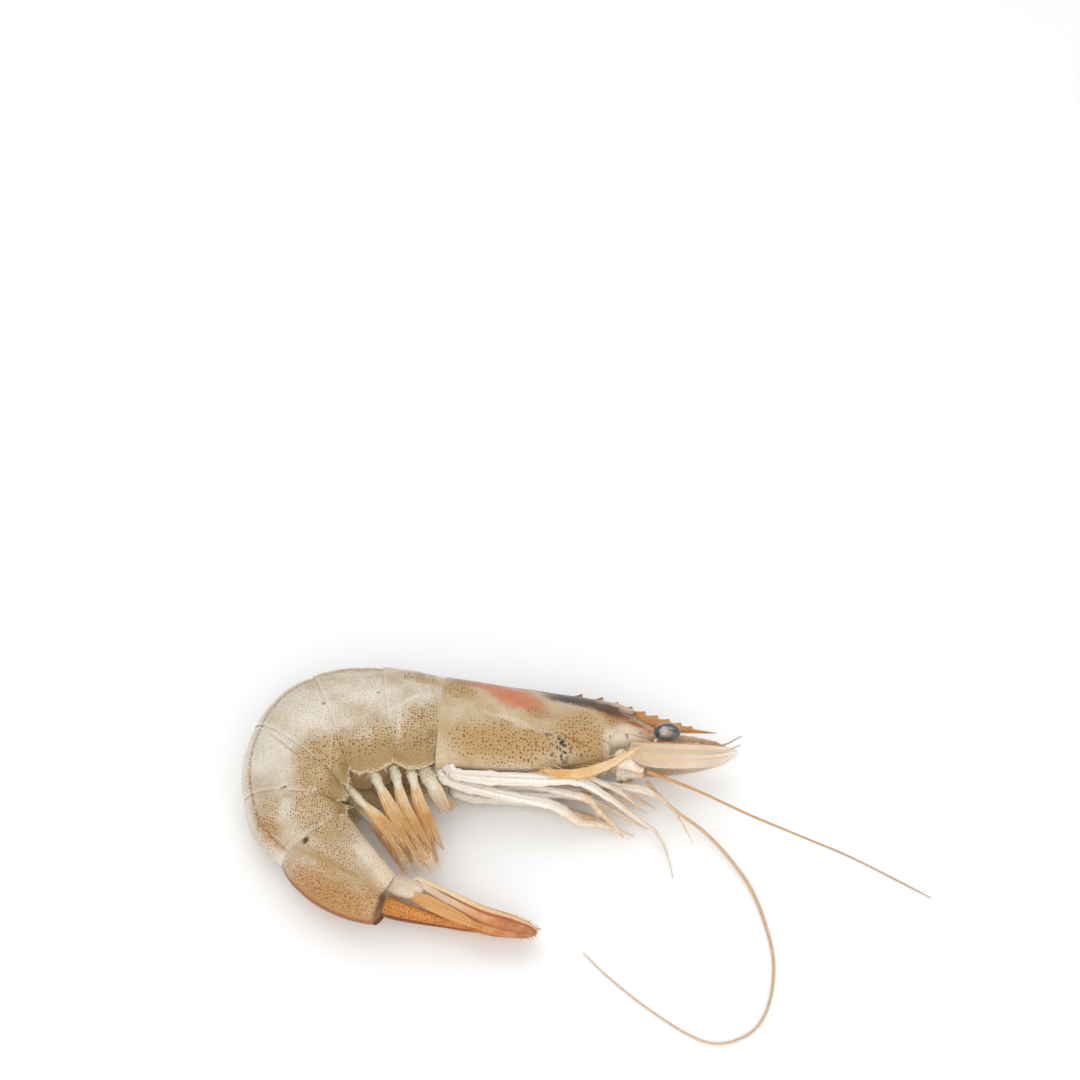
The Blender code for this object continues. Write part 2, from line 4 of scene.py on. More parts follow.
import bmesh
import bpy
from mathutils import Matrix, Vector


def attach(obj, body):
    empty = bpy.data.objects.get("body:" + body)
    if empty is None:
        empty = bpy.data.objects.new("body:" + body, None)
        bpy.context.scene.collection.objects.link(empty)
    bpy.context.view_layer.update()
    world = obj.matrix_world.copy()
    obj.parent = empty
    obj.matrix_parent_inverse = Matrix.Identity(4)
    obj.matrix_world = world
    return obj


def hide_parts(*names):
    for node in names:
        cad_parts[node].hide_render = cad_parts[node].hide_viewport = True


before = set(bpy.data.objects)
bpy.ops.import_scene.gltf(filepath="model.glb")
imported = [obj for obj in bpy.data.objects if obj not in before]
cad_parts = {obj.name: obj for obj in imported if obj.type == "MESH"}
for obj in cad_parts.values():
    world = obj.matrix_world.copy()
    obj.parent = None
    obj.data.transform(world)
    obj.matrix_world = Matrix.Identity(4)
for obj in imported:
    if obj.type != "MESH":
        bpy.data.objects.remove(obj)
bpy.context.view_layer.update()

mm = 0.001
planMiddle = Vector((19.904, -16.253, 0))  # middle of the whole outline, antennae included, in mm

# small helpers for curves


def curveThrough(a, b, c, d, t):
    # a smooth step from b to c, which also follows the row before and the row after
    return [
        q + 0.5 * t * (r - p + t * (2 * p - 5 * q + 4 * r - s + t * (3 * (q - r) + s - p)))
        for p, q, r, s in zip(a, b, c, d)
    ]


def smoothRow(rows, place):
    # a row of numbers read between the rows of a table, on a smooth curve
    last = len(rows) - 1
    first = min(max(int(math.floor(place)), 0), last - 1)
    t = place - first
    a, b, c, d = (rows[min(max(first + k, 0), last)] for k in (-1, 0, 1, 2))
    return curveThrough(a, b, c, d, t)


def smoothLoop(rows, share):
    # the same round a closed outline
    count = len(rows)
    place = (share % 1.0) * count
    first = int(place)
    t = place - first
    a, b, c, d = (rows[(first + k) % count] for k in (-1, 0, 1, 2))
    return curveThrough(a, b, c, d, t)


def bell(value, middle, width):
    return math.exp(-(((value - middle) / width) ** 2))


def ripple(x, y, size):
    # gentle unevenness, about -1 to 1
    x, y = x / size, y / size
    return (
        math.sin(x * 1.7 + 0.6 * math.sin(y * 1.3)) * 0.5
        + math.sin(y * 2.1 + 1.3 + 0.8 * math.sin(x * 0.9)) * 0.3
        + math.sin((x + y) * 3.1 + 0.4) * 0.2
    )


# small helpers for meshes


def bentSkin(rings, around):
    # a flat grid rolled into a closed skin. Each ring is its share of the length and a function
    # that gives the point, in plan mm, at a share of the way round
    bm = bmesh.new()
    uv = bm.loops.layers.uv.new("skin")
    last = len(rings) - 1
    bmesh.ops.create_grid(bm, x_segments=last, y_segments=around, size=0.5, calc_uvs=True)
    spots = {v: (round((v.co.x + 0.5) * last), v.co.y + 0.5) for v in bm.verts}
    for face in bm.faces:
        face.smooth = True
        for loop in face.loops:
            step, turn = spots[loop.vert]
            loop[uv].uv = (rings[step][0], turn)
    middles = {}
    for end in (0, last):
        points = [rings[end][1](k / 12) for k in range(12)]
        middles[end] = sum(points, Vector()) / 12
    for vert, (step, turn) in spots.items():
        point = middles[step] if step in middles else rings[step][1](turn)
        vert.co = (point - planMiddle) * mm
    bmesh.ops.remove_doubles(bm, verts=bm.verts, dist=2e-7)
    bmesh.ops.recalc_face_normals(bm, faces=bm.faces)
    return bm


def finishPiece(name, bm, finish, replaced=(), sharpen=38, onTable=False):
    if onTable:
        everything = [*bm.verts, *bm.edges, *bm.faces]
        cut = bmesh.ops.bisect_plane(
            bm, geom=everything, plane_co=(0, 0, 0.00001), plane_no=(0, 0, -1), clear_outer=True
        )
        edges = [item for item in cut["geom_cut"] if isinstance(item, bmesh.types.BMEdge)]
        if edges:
            bmesh.ops.holes_fill(bm, edges=edges)
    mesh = bpy.data.meshes.new(name)
    bm.to_mesh(mesh)
    bm.free()
    mesh.set_sharp_from_angle(angle=math.radians(sharpen))
    piece = bpy.data.objects.new(name, mesh)
    bpy.context.scene.collection.objects.link(piece)
    mesh.materials.append(finish)
    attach(piece, "root")
    if replaced:
        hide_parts(*replaced)
    return piece


# node helpers


def tone(colour):
    # a colour from its three screen values; a socket or a finished colour stays as it is
    if isinstance(colour, bpy.types.NodeSocket) or len(colour) == 4:
        return colour
    made = [v / 255 for v in colour]
    return (*[v / 12.92 if v <= 0.04045 else ((v + 0.055) / 1.055) ** 2.4 for v in made], 1)


def put(tree, kind, inputs=None, **settings):
    made = tree.nodes.new(kind)
    for key, value in settings.items():
        setattr(made, key, value)
    for key, value in (inputs or {}).items():
        if isinstance(value, bpy.types.NodeSocket):
            tree.links.new(value, made.inputs[key])
        else:
            made.inputs[key].default_value = value
    return made


def calc(tree, operation, *values):
    return put(tree, "ShaderNodeMath", dict(enumerate(values)), operation=operation).outputs[0]


def vectorCalc(tree, operation, inputs):
    return put(tree, "ShaderNodeVectorMath", inputs, operation=operation).outputs[0]


def partsOf(tree, vector):
    return put(tree, "ShaderNodeSeparateXYZ", {0: vector}).outputs


def apart(tree, value, middle):
    # how far a value is from a middle, either way
    return calc(tree, "ABSOLUTE", calc(tree, "SUBTRACT", value, middle))


def times(tree, *values):
    return calc(tree, "MULTIPLY", *values)


def ramp(tree, value, low, high, toLow=0.0, toHigh=1.0):
    inputs = {"Value": value, "From Min": low, "From Max": high, "To Min": toLow, "To Max": toHigh}
    made = put(tree, "ShaderNodeMapRange", inputs, interpolation_type="SMOOTHSTEP")
    return made.outputs["Result"]


def blendColour(tree, share, under, over):
    inputs = {"Factor": share, 6: tone(under), 7: tone(over)}
    return put(tree, "ShaderNodeMix", inputs, data_type="RGBA").outputs[2]


def layer(tree, under, mask, over, amount=None):
    # another colour laid on through a mask
    share = mask if amount is None else times(tree, mask, amount)
    return blendColour(tree, share, under, over)


def noiseAt(tree, vector, scale, detail, **more):
    inputs = {"Vector": vector, "Scale": scale, "Detail": detail, **more}
    return put(tree, "ShaderNodeTexNoise", inputs).outputs


def join(tree, socket, target):
    tree.links.new(socket, target)


def startGroup(name, ins, outs):
    group = bpy.data.node_groups.new(name, "ShaderNodeTree")
    kinds = {"v": "NodeSocketVector", "f": "NodeSocketFloat", "c": "NodeSocketColor"}
    for title, kind, start in ins:
        made = group.interface.new_socket(name=title, in_out="INPUT", socket_type=kinds[kind])
        made.default_value = start
    for title, kind in outs:
        group.interface.new_socket(name=title, in_out="OUTPUT", socket_type=kinds[kind])
    return group, group.nodes.new("NodeGroupInput").outputs, group.nodes.new("NodeGroupOutput").inputs


def stippleGroup():
    # round pigment dots of uneven size, in mm, laid flat on whichever way the surface faces
    ins = [("Place", "v", (0, 0, 0)), ("Facing", "v", (0, 0, 1)), ("Spacing", "f", 0.7),
           ("Size", "f", 0.2), ("Blur", "f", 0.06)]
    tree, given, made = startGroup("pigmentDots", ins, [("Mask", "f")])
    scale = calc(tree, "DIVIDE", 1.0, given["Spacing"])
    place = partsOf(tree, given["Place"])
    facing = vectorCalc(tree, "ABSOLUTE", {0: given["Facing"]})
    facing = partsOf(tree, facing)
    upward = times(tree, facing[2], 1.3)
    up = calc(tree, "GREATER_THAN", upward, calc(tree, "MAXIMUM", facing[0], facing[1]))
    front = calc(tree, "GREATER_THAN", calc(tree, "MAXIMUM", facing[1], times(tree, up, 9.0)), facing[0])
    flatX = put(tree, "ShaderNodeMix", {0: front, 2: place[1], 3: place[0]}, data_type="FLOAT").outputs[0]
    flatY = put(tree, "ShaderNodeMix", {0: up, 2: place[2], 3: place[1]}, data_type="FLOAT").outputs[0]
    flat = put(tree, "ShaderNodeCombineXYZ", {0: flatX, 1: flatY}).outputs[0]
    cells = put(tree, "ShaderNodeTexVoronoi", {"Vector": flat, "Scale": scale, "Randomness": 0.72},
                voronoi_dimensions="2D")
    away = times(tree, cells.outputs["Distance"], given["Spacing"])
    chance = put(tree, "ShaderNodeSeparateColor", {"Color": cells.outputs["Color"]}).outputs[0]
    size = times(tree, given["Size"], calc(tree, "MULTIPLY_ADD", chance, 0.9, 0.45))
    mask = ramp(tree, away, calc(tree, "ADD", size, given["Blur"]),
                calc(tree, "SUBTRACT", size, given["Blur"]))
    join(tree, mask, made["Mask"])
    return tree


def zoneGroup():
    # a soft oval patch, its place and sizes in mm
    ins = [("Place", "v", (0, 0, 0)), ("Centre", "v", (0, 0, 0)), ("Turn", "f", 0.0), ("Long", "f", 5.0),
           ("Wide", "f", 5.0), ("Edge", "f", 0.4), ("Amount", "f", 1.0), ("Others", "f", 0.0)]
    tree, given, made = startGroup("softZone", ins, [("Mask", "f")])
    turned = put(tree, "ShaderNodeVectorRotate", {"Vector": given["Place"], "Center": given["Centre"],
                                                  "Angle": times(tree, given["Turn"], -1.0)},
                 rotation_type="Z_AXIS").outputs[0]
    away = vectorCalc(tree, "SUBTRACT", {0: turned, 1: given["Centre"]})
    parts = partsOf(tree, away)
    long = calc(tree, "POWER", calc(tree, "DIVIDE", calc(tree, "ABSOLUTE", parts[0]), given["Long"]), 2.0)
    wide = calc(tree, "POWER", calc(tree, "DIVIDE", calc(tree, "ABSOLUTE", parts[1]), given["Wide"]), 2.0)
    far = calc(tree, "SQRT", calc(tree, "ADD", long, wide))
    mask = ramp(tree, far, calc(tree, "ADD", 1.0, given["Edge"]),
                calc(tree, "SUBTRACT", 1.0, given["Edge"]))
    mask = times(tree, mask, given["Amount"])
    join(tree, calc(tree, "MAXIMUM", mask, given["Others"]), made["Mask"])
    return tree


def fleshGroup():
    # clouding of the pale flesh under the shell, and the shell's own fine unevenness
    ins = [("Place", "v", (0, 0, 0)), ("Size", "f", 4.0)]
    tree, given, made = startGroup("cloudyFlesh", ins, [("Tone", "f"), ("Fine", "f"), ("Height", "f")])
    scale = calc(tree, "DIVIDE", 1.0, given["Size"])
    broad = noiseAt(tree, given["Place"], scale, 3.0)
    fine = noiseAt(tree, given["Place"], 2.6, 3.0)
    join(tree, ramp(tree, broad["Fac"], 0.3, 0.7), made["Tone"])
    join(tree, ramp(tree, fine["Fac"], 0.25, 0.75), made["Fine"])
    height = calc(tree, "ADD", broad["Fac"], times(tree, fine["Fac"], 0.25))
    join(tree, height, made["Height"])
    return tree


def streakGroup():
    # fine lines that run along a limb or blade, read from its own map
    ins = [("Skin", "v", (0, 0, 0)), ("Lines", "f", 14.0), ("Length", "f", 1.5)]
    tree, given, made = startGroup("longStreaks", ins, [("Mask", "f"), ("Fine", "f")])
    parts = partsOf(tree, given["Skin"])
    turned = times(tree, parts[1], 2 * math.pi)
    ringX = times(tree, calc(tree, "COSINE", turned), 0.16)
    ringY = times(tree, calc(tree, "SINE", turned), 0.16)
    ringed = put(tree, "ShaderNodeCombineXYZ", {
        0: times(tree, ringX, given["Lines"]), 1: times(tree, ringY, given["Lines"]),
        2: times(tree, parts[0], given["Length"])}).outputs[0]
    lines = noiseAt(tree, ringed, 1.0, 4.0, Roughness=0.6)["Fac"]
    join(tree, ramp(tree, lines, 0.38, 0.62), made["Mask"])
    join(tree, lines, made["Fine"])
    return tree


groups = {"dots": stippleGroup(), "zone": zoneGroup(), "flesh": fleshGroup(), "streaks": streakGroup()}


def useGroup(tree, kind, inputs):
    return put(tree, "ShaderNodeGroup", inputs, node_tree=groups[kind]).outputs


def dotMask(tree, place, coords, spacing, size, blur):
    inputs = {"Place": place, "Facing": coords["Normal"], "Spacing": spacing, "Size": size, "Blur": blur}
    return useGroup(tree, "dots", inputs)["Mask"]


def startFinish(name):
    made = bpy.data.materials.new(name)
    made.use_nodes = True
    tree = made.node_tree
    shader = tree.nodes["Principled BSDF"]
    coords = put(tree, "ShaderNodeTexCoord").outputs
    place = vectorCalc(tree, "SCALE", {0: coords["Object"], 3: 1 / mm})
    skin = partsOf(tree, coords["UV"])
    return made, tree, shader, place, coords, skin


def wobble(tree, place, size, reach):
    noise = noiseAt(tree, place, 1 / size, 2.0)
    shift = vectorCalc(tree, "SUBTRACT", {0: noise["Color"], 1: (0.5, 0.5, 0.5)})
    return vectorCalc(tree, "ADD", {0: place, 1: vectorCalc(tree, "SCALE", {0: shift, 3: reach})})


def zoneMask(tree, place, zones, edge=0.45):
    # one mask from several oval zones: x, y, long, wide, turn in degrees, amount
    mask = 0.0
    for x, y, long, wide, turn, amount in zones:
        inputs = {"Place": place, "Centre": (x, y, 0), "Turn": math.radians(turn), "Long": long,
                  "Wide": wide, "Edge": edge, "Amount": amount, "Others": mask}
        mask = useGroup(tree, "zone", inputs)["Mask"]
    return mask


def wetSurface(tree, shader, rough, height, relief, scatter=0.08, coat=0.2, coatRoughness=0.22):
    # a soft surface with a clear wet coat and fine relief
    join(tree, rough, shader.inputs["Roughness"])
    bump = put(tree, "ShaderNodeBump", {"Height": height, "Distance": relief * mm, "Strength": 0.7})
    join(tree, bump.outputs[0], shader.inputs["Normal"])
    settings = {
        "Subsurface Weight": scatter, "Subsurface Radius": (1.0, 0.8, 0.5), "Subsurface Scale": 0.001,
        "Specular IOR Level": 0.38, "Coat Weight": coat, "Coat Roughness": coatRoughness,
    }
    for key, value in settings.items():
        shader.inputs[key].default_value = value


# finishes of the shell

shellLook = {
    "pale": (210, 198, 178),
    "cloud": (184, 166, 138),
    "white": (228, 221, 208),
    "olive": (184, 152, 92),
    "oliveDeep": (162, 126, 64),
    "amber": (176, 122, 54),
    "pink": (230, 208, 184),
    "belly": (206, 168, 120),
    "tan": (156, 126, 74),
    "margin": (224, 210, 178),
    "fineDot": (140, 106, 60),
    "redDot": (122, 66, 20),
    "darkMark": (86, 50, 28),
    "stripe": (152, 98, 40),
    "rust": (132, 60, 20),
    "mauve": (138, 100, 72),
    "roughness": 0.3,
    "dotSpacing": (0.68, 0.68, 0.68, 0.6, 0.54, 0.5),  # mm, a ring each
    "oliveZones": [
        (-34.0, 20.0, 5.4, 7.2, 0, 1.0), (-42.3, 17.2, 4.8, 6.0, 0, 1.0), (-48.8, 17.6, 5.4, 4.6, 8, 0.9),
        (-55.4, 15.4, 4.8, 4.6, 30, 0.95), (-55.6, 10.2, 4.4, 5.6, 10, 0.9),
        (-55.0, 5.0, 5.6, 4.8, 0, 0.9), (-53.4, 0.4, 8.0, 3.6, -24, 0.9),
        (-66.4, 0.0, 3.4, 6.8, -14, 0.7), (-51.4, -6.6, 7.4, 3.2, -36, 0.7),
        (-49.4, 38.6, 7.6, 1.5, 0, 0.7), (-35.2, 36.2, 5.8, 1.9, -14, 0.85),
        (-31.6, 24.0, 1.2, 5.4, 0, 0.8),
    ],
    "amberZones": [(-52.8, -15.6, 15.5, 6.0, -27, 1.0), (-66.8, -3.6, 2.8, 4.8, -18, 0.8),
                   (-43.2, -15.4, 3.6, 4.0, -27, 0.9)],
    "pinkZones": [(-42.2, -6.4, 5.4, 2.2, -52, 0.85), (-40.0, -10.8, 2.6, 2.8, -30, 0.75)],
    "paleZones": [(-59.0, 27.0, 6.5, 4.4, -40, 0.7), (-67.2, 17.5, 4.8, 6.6, 0, 0.8),
                  (-46.5, 31.6, 6.2, 3.2, 0, 0.6), (-34.2, 28.8, 4.2, 2.2, 0, 0.5),
                  (-62.0, 3.2, 3.4, 2.2, 10, 0.9), (-54.4, -4.6, 3.6, 1.0, -35, 0.6),
                  (-46.4, -3.6, 4.6, 1.6, -52, 0.8), (-41.6, 29.0, 3.4, 4.0, 0, 0.5),
                  (-46.4, 20.6, 2.4, 0.9, 20, 0.7), (-52.4, 12.8, 0.9, 2.6, -20, 0.6)],
    "shadeZones": [(-37.4, 11.6, 4.4, 2.4, 8, 0.8), (-34.4, 18.5, 1.5, 3.4, 0, 0.45),
                   (-46.0, 13.4, 3.0, 2.0, -12, 0.65), (-50.4, 11.2, 2.4, 2.0, 0, 0.5)],
    "marks": [(-62.5, 8.1, 0.75, 0.3, 15, 0.9), (-57.2, -3.2, 0.8, 0.55, 60, 1.0),
              (-43.9, 30.9, 0.4, 0.3, 0, 0.6), (-55.4, 28.2, 0.45, 0.35, 0, 0.7),
              (-41.3, -14.9, 0.9, 0.4, 50, 0.8), (-32.0, 20.6, 0.9, 1.3, 0, 0.4),
              (-34.0, 24.6, 0.6, 0.5, 0, 0.4)],
    "whiteLines": [(-37.6, 28.6, 4.8, 0.35, 35, 0.55), (-39.0, 23.2, 0.35, 4.2, 0, 0.45),
                   (-44.6, 30.6, 0.3, 4.2, -12, 0.5), (-55.1, 24.8, 0.3, 3.0, 0, 0.5)],
    "brownLines": [(-62.4, 17.6, 5.0, 0.2, -43, 0.6), (-51.5, -8.4, 8.0, 0.55, -27, 0.55),
                   (-49.0, -13.2, 7.0, 0.4, -28, 0.4)],
}


def shellFinish(name, look, number):
    # the see-through shell over pale flesh: cloudy, with olive zones that are thick with dots
    made, tree, shader, place, coords, skin = startFinish(name)
    bent = wobble(tree, place, 3.4, 3.4)
    bent = wobble(tree, bent, 0.9, 0.9)
    nearly = wobble(tree, place, 1.2, 0.5)
    flesh = useGroup(tree, "flesh", {"Place": place, "Size": 5.0})
    colour = blendColour(tree, flesh["Tone"], look["pale"], look["cloud"])
    white = times(tree, zoneMask(tree, bent, look["paleZones"]), 0.8)
    colour = layer(tree, colour, white, look["white"])
    olive = zoneMask(tree, bent, look["oliveZones"], 0.55)
    oliveTone = blendColour(tree, flesh["Fine"], look["olive"], look["oliveDeep"])
    colour = layer(tree, colour, olive, oliveTone, 0.72)
    amber = zoneMask(tree, wobble(tree, place, 2.0, 1.6), look["amberZones"], 0.7)
    colour = layer(tree, colour, amber, look["amber"], 0.88)
    drawn = vectorCalc(tree, "MULTIPLY", {0: place, 1: (0.22, 0.22, 0.9)})
    streaks = noiseAt(tree, drawn, 1.0, 5.0, Roughness=0.62, Distortion=1.4)["Fac"]
    colour = layer(tree, colour, ramp(tree, streaks, 0.56, 0.74, 0.0, 0.5), look["white"])
    colour = layer(tree, colour, ramp(tree, streaks, 0.44, 0.3, 0.0, 0.45), look["cloud"])
    pink = zoneMask(tree, nearly, look["pinkZones"], 0.5)
    colour = layer(tree, colour, pink, look["pink"], 0.92)
    shade = zoneMask(tree, bent, look["shadeZones"], 0.7)
    colour = layer(tree, colour, shade, look["mauve"], 0.6)
    # belly side between the side flaps, and the edge stripe that shows along the back
    fromBack = calc(tree, "SUBTRACT", 0.5, apart(tree, skin[1], 0.5))
    belly = ramp(tree, fromBack, 0.4, 0.43)
    if number < 6:
        uneven = calc(tree, "MULTIPLY_ADD", flesh["Fine"], 0.02, fromBack)
        # darker tan low on the sides: partly the shell's own tan, partly painted shade just above the flap
        # margin
        colour = layer(tree, colour, ramp(tree, uneven, 0.315, 0.37, 0.0, 0.9), look["tan"])
        colour = layer(tree, colour, ramp(tree, uneven, 0.392, 0.404, 0.0, 0.6), look["margin"])
        colour = layer(tree, colour, belly, look["belly"], 0.9)
    if number in (2, 3, 4, 5):
        stripe = ramp(tree, apart(tree, fromBack, 0.088), 0.011, 0.002)
        stripe = times(tree, stripe, ramp(tree, flesh["Fine"], 0.25, 0.62))
        colour = layer(tree, colour, stripe, look["stripe"], 0.9)
        rim = ramp(tree, fromBack, 0.078, 0.05)
        colour = layer(tree, colour, rim, look["white"], 0.5)
    if number == 6:
        keel = ramp(tree, fromBack, 0.034, 0.012)
        colour = layer(tree, colour, keel, look["rust"], 0.8)
        hem = times(tree, ramp(tree, skin[0], 0.974, 0.993), ramp(tree, fromBack, 0.26, 0.2))
        colour = layer(tree, colour, hem, look["rust"], 0.5)
    # dots: fine grey-brown ones all over, larger red-brown ones where the olive is
    dense = ramp(tree, calc(tree, "MAXIMUM", olive, times(tree, amber, 0.8)), 0.1, 0.75)
    spacing = look["dotSpacing"][number - 1]
    size = calc(tree, "MULTIPLY_ADD", dense, 0.1 * spacing, 0.155 * spacing)
    large = dotMask(tree, place, coords, spacing, size, 0.055)
    dotTone = blendColour(tree, dense, look["fineDot"], look["redDot"])
    shown = times(tree, ramp(tree, dense, 0.0, 1.0, 0.72, 0.92),
                  ramp(tree, fromBack, 0.0, 0.08, 0.3, 1.0))
    shown = times(tree, shown, ramp(tree, fromBack, 0.37, 0.34, 0.3, 1.0))
    colour = layer(tree, colour, times(tree, large, shown), dotTone)
    fine = dotMask(tree, place, coords, 0.44, 0.075, 0.05)
    colour = layer(tree, colour, fine, look["fineDot"], 0.42)
    marks = zoneMask(tree, nearly, look["marks"], 0.5)
    colour = layer(tree, colour, marks, look["darkMark"])
    lines = zoneMask(tree, wobble(tree, place, 3.0, 1.6), look["whiteLines"], 0.8)
    colour = layer(tree, colour, lines, look["white"], 0.8)
    brown = zoneMask(tree, nearly, look["brownLines"], 0.8)
    colour = layer(tree, colour, brown, look["oliveDeep"])
    if number < 6:
        # the hem's pale colour is partly the clear shell edge and partly painted light on its inner side,
        # which lifts the shade in the joint
        hem = times(tree, ramp(tree, skin[0], 0.975, 0.995), 0.22)
        colour = layer(tree, colour, hem, look["white"])
    # painted light: the front part that runs under the previous hem is made pale, so the joint gap between
    # rings shows no shade
    under = ramp(tree, skin[0], 0.004, -0.001, 0.0, 0.7)
    colour = layer(tree, colour, under, look["margin"])
    join(tree, colour, shader.inputs["Base Color"])
    rough = calc(tree, "MULTIPLY_ADD", flesh["Fine"], 0.16, look["roughness"] - 0.05)
    height = calc(tree, "ADD", flesh["Height"], times(tree, large, 0.12))
    wetSurface(tree, shader, rough, height, 0.22)
    return made


headLook = {
    "pale": (198, 180, 150),
    "cloud": (186, 160, 120),
    "olive": (184, 148, 86),
    "oliveDeep": (164, 124, 64),
    "coral": (196, 92, 48),
    "coralPale": (200, 124, 82),
    "black": (40, 27, 17),
    "white": (226, 214, 196),
    "rust": (148, 80, 34),
    "keel": (120, 70, 34),
    "fineDot": (132, 98, 62),
    "redDot": (114, 62, 22),
    "blackDot": (46, 38, 40),
    "oliveZones": [
        (-16.5, 18.8, 11.5, 4.6, -4, 0.95), (0.0, 21.0, 6.6, 4.6, -12, 0.9),
        (-24.0, 20.5, 4.4, 4.0, 0, 0.5), (-26.5, 32.0, 4.2, 2.6, -18, 0.75),
        (7.0, 25.5, 4.0, 2.0, -25, 0.6),
    ],
    "rustZones": [(-22.0, 35.0, 8.0, 1.5, -6, 0.85), (-6.0, 33.6, 9.5, 1.6, -8, 0.95),
                  (6.5, 27.8, 8.0, 2.2, -22, 0.75), (-9.0, 26.2, 4.0, 1.4, -20, 0.5)],
    "coralZones": [(-14.2, 29.9, 5.8, 2.6, -22, 1.0), (-17.0, 32.6, 7.0, 1.4, -14, 1.0)],
    "blackZones": [(-1.4, 31.0, 6.4, 2.2, -12, 1.0), (5.2, 28.6, 5.0, 1.6, -20, 0.85)],
    "whiteZones": [(6.6, 20.6, 2.3, 2.6, 0, 1.0), (-28.0, 16.0, 2.4, 2.6, 0, 0.15),
                   (-13.0, 23.0, 7.0, 0.9, -20, 0.5), (12.4, 22.0, 5.0, 2.4, 0, 0.8)],
    "lowWhite": [(-12.0, 13.2, 15.0, 1.4, 0, 0.8)],
    "clusterZones": [(-4.8, 17.6, 2.1, 2.5, 0, 1.0), (-6.6, 20.0, 1.4, 1.0, 0, 0.7)],
    "marks": [(6.2, 21.4, 0.35, 0.6, 20, 0.9), (6.6, 19.6, 0.3, 0.3, 0, 0.9)],
    "redLines": [(-1.0, 19.6, 2.9, 0.28, -21, 0.95)],
    "roughness": 0.3,
}


faceLook = dict(
    headLook,
    pale=(198, 170, 134), cloud=(182, 150, 112), oliveZones=[(9.0, 27.2, 4.0, 1.6, -20, 0.7)],
    rustZones=[(13.5, 27.6, 5.5, 0.9, -16, 0.9), (12.0, 20.4, 7.0, 0.5, 6, 0.6)],
    coralZones=[(15.0, 24.4, 2.2, 0.6, -10, 0.4)],
    blackZones=[(11.0, 28.0, 3.4, 1.2, -16, 0.8)], whiteZones=[(10.2, 22.4, 3.6, 2.4, 0, 0.85)],
    lowWhite=[(12.0, 20.8, 8.0, 1.6, 0, 0.6)],
    clusterZones=[],
    marks=[(9.6, 22.4, 0.35, 0.5, 20, 0.9), (10.4, 20.9, 0.3, 0.3, 0, 0.9),
           (11.8, 25.6, 1.9, 0.5, -14, 1.0), (9.0, 25.9, 0.5, 0.28, -14, 0.8),
           (12.6, 23.4, 0.4, 0.22, 10, 0.7), (14.6, 24.2, 0.5, 0.2, -10, 0.7)],
    redLines=[(14.0, 22.4, 4.0, 0.22, -6, 0.6)],
)


def headFinish(name, look):
    made, tree, shader, place, coords, skin = startFinish(name)
    bent = wobble(tree, wobble(tree, place, 3.6, 3.0), 0.8, 0.9)
    nearly = wobble(tree, place, 1.2, 0.5)
    flesh = useGroup(tree, "flesh", {"Place": place, "Size": 4.0})
    colour = blendColour(tree, flesh["Tone"], look["pale"], look["cloud"])
    olive = zoneMask(tree, bent, look["oliveZones"], 0.5)
    oliveTone = blendColour(tree, flesh["Fine"], look["olive"], look["oliveDeep"])
    colour = layer(tree, colour, olive, oliveTone, 0.8)
    rust = zoneMask(tree, bent, look["rustZones"], 0.5)
    colour = layer(tree, colour, rust, look["rust"], 0.75)
    coral = zoneMask(tree, bent, look["coralZones"], 0.5)
    coralTone = blendColour(tree, flesh["Tone"], look["coral"], look["coralPale"])
    colour = layer(tree, colour, coral, coralTone, 0.88)
    fromBack = calc(tree, "SUBTRACT", 0.5, apart(tree, skin[1], 0.5))
    colour = layer(tree, colour, ramp(tree, fromBack, 0.035, 0.006, 0.0, 0.75), look["keel"])
    black = zoneMask(tree, bent, look["blackZones"], 0.4)
    colour = layer(tree, colour, black, look["black"], 0.96)
    white = zoneMask(tree, bent, look["whiteZones"], 0.5)
    colour = layer(tree, colour, white, look["white"], 0.8)
    low = zoneMask(tree, nearly, look["lowWhite"], 0.5)
    colour = layer(tree, colour, low, look["white"])
    fine = dotMask(tree, place, coords, 0.55, 0.075, 0.05)
    colour = layer(tree, colour, fine, look["fineDot"], 0.35)
    dense = ramp(tree, calc(tree, "MAXIMUM", olive, rust), 0.1, 0.7)
    size = calc(tree, "MULTIPLY_ADD", dense, 0.075, 0.1)
    large = dotMask(tree, place, coords, 0.8, size, 0.06)
    spread = calc(tree, "SUBTRACT", ramp(tree, dense, 0.0, 1.0, 0.62, 0.92),
                  times(tree, calc(tree, "MAXIMUM", white, low), 0.6))
    dotTone = blendColour(tree, dense, look["fineDot"], look["redDot"])
    colour = layer(tree, colour, times(tree, large, spread), dotTone)
    cluster = zoneMask(tree, bent, look["clusterZones"], 0.5)
    blots = dotMask(tree, bent, coords, 0.8, 0.3, 0.1)
    colour = layer(tree, colour, times(tree, blots, cluster), look["blackDot"])
    marks = calc(tree, "MAXIMUM", zoneMask(tree, nearly, look["marks"], 0.5),
                 zoneMask(tree, nearly, look["redLines"], 0.8))
    colour = layer(tree, colour, marks, look["rust"], 0.85)
    lip = ramp(tree, skin[0], 0.012, 0.0, 0.0, 0.2)
    colour = layer(tree, colour, lip, look["white"])
    join(tree, colour, shader.inputs["Base Color"])
    rough = calc(tree, "MULTIPLY_ADD", flesh["Fine"], 0.16, look["roughness"] - 0.05)
    height = calc(tree, "ADD", flesh["Height"], times(tree, large, 0.12))
    wetSurface(tree, shader, rough, height, 0.25, coat=0.1, coatRoughness=0.2)
    return made


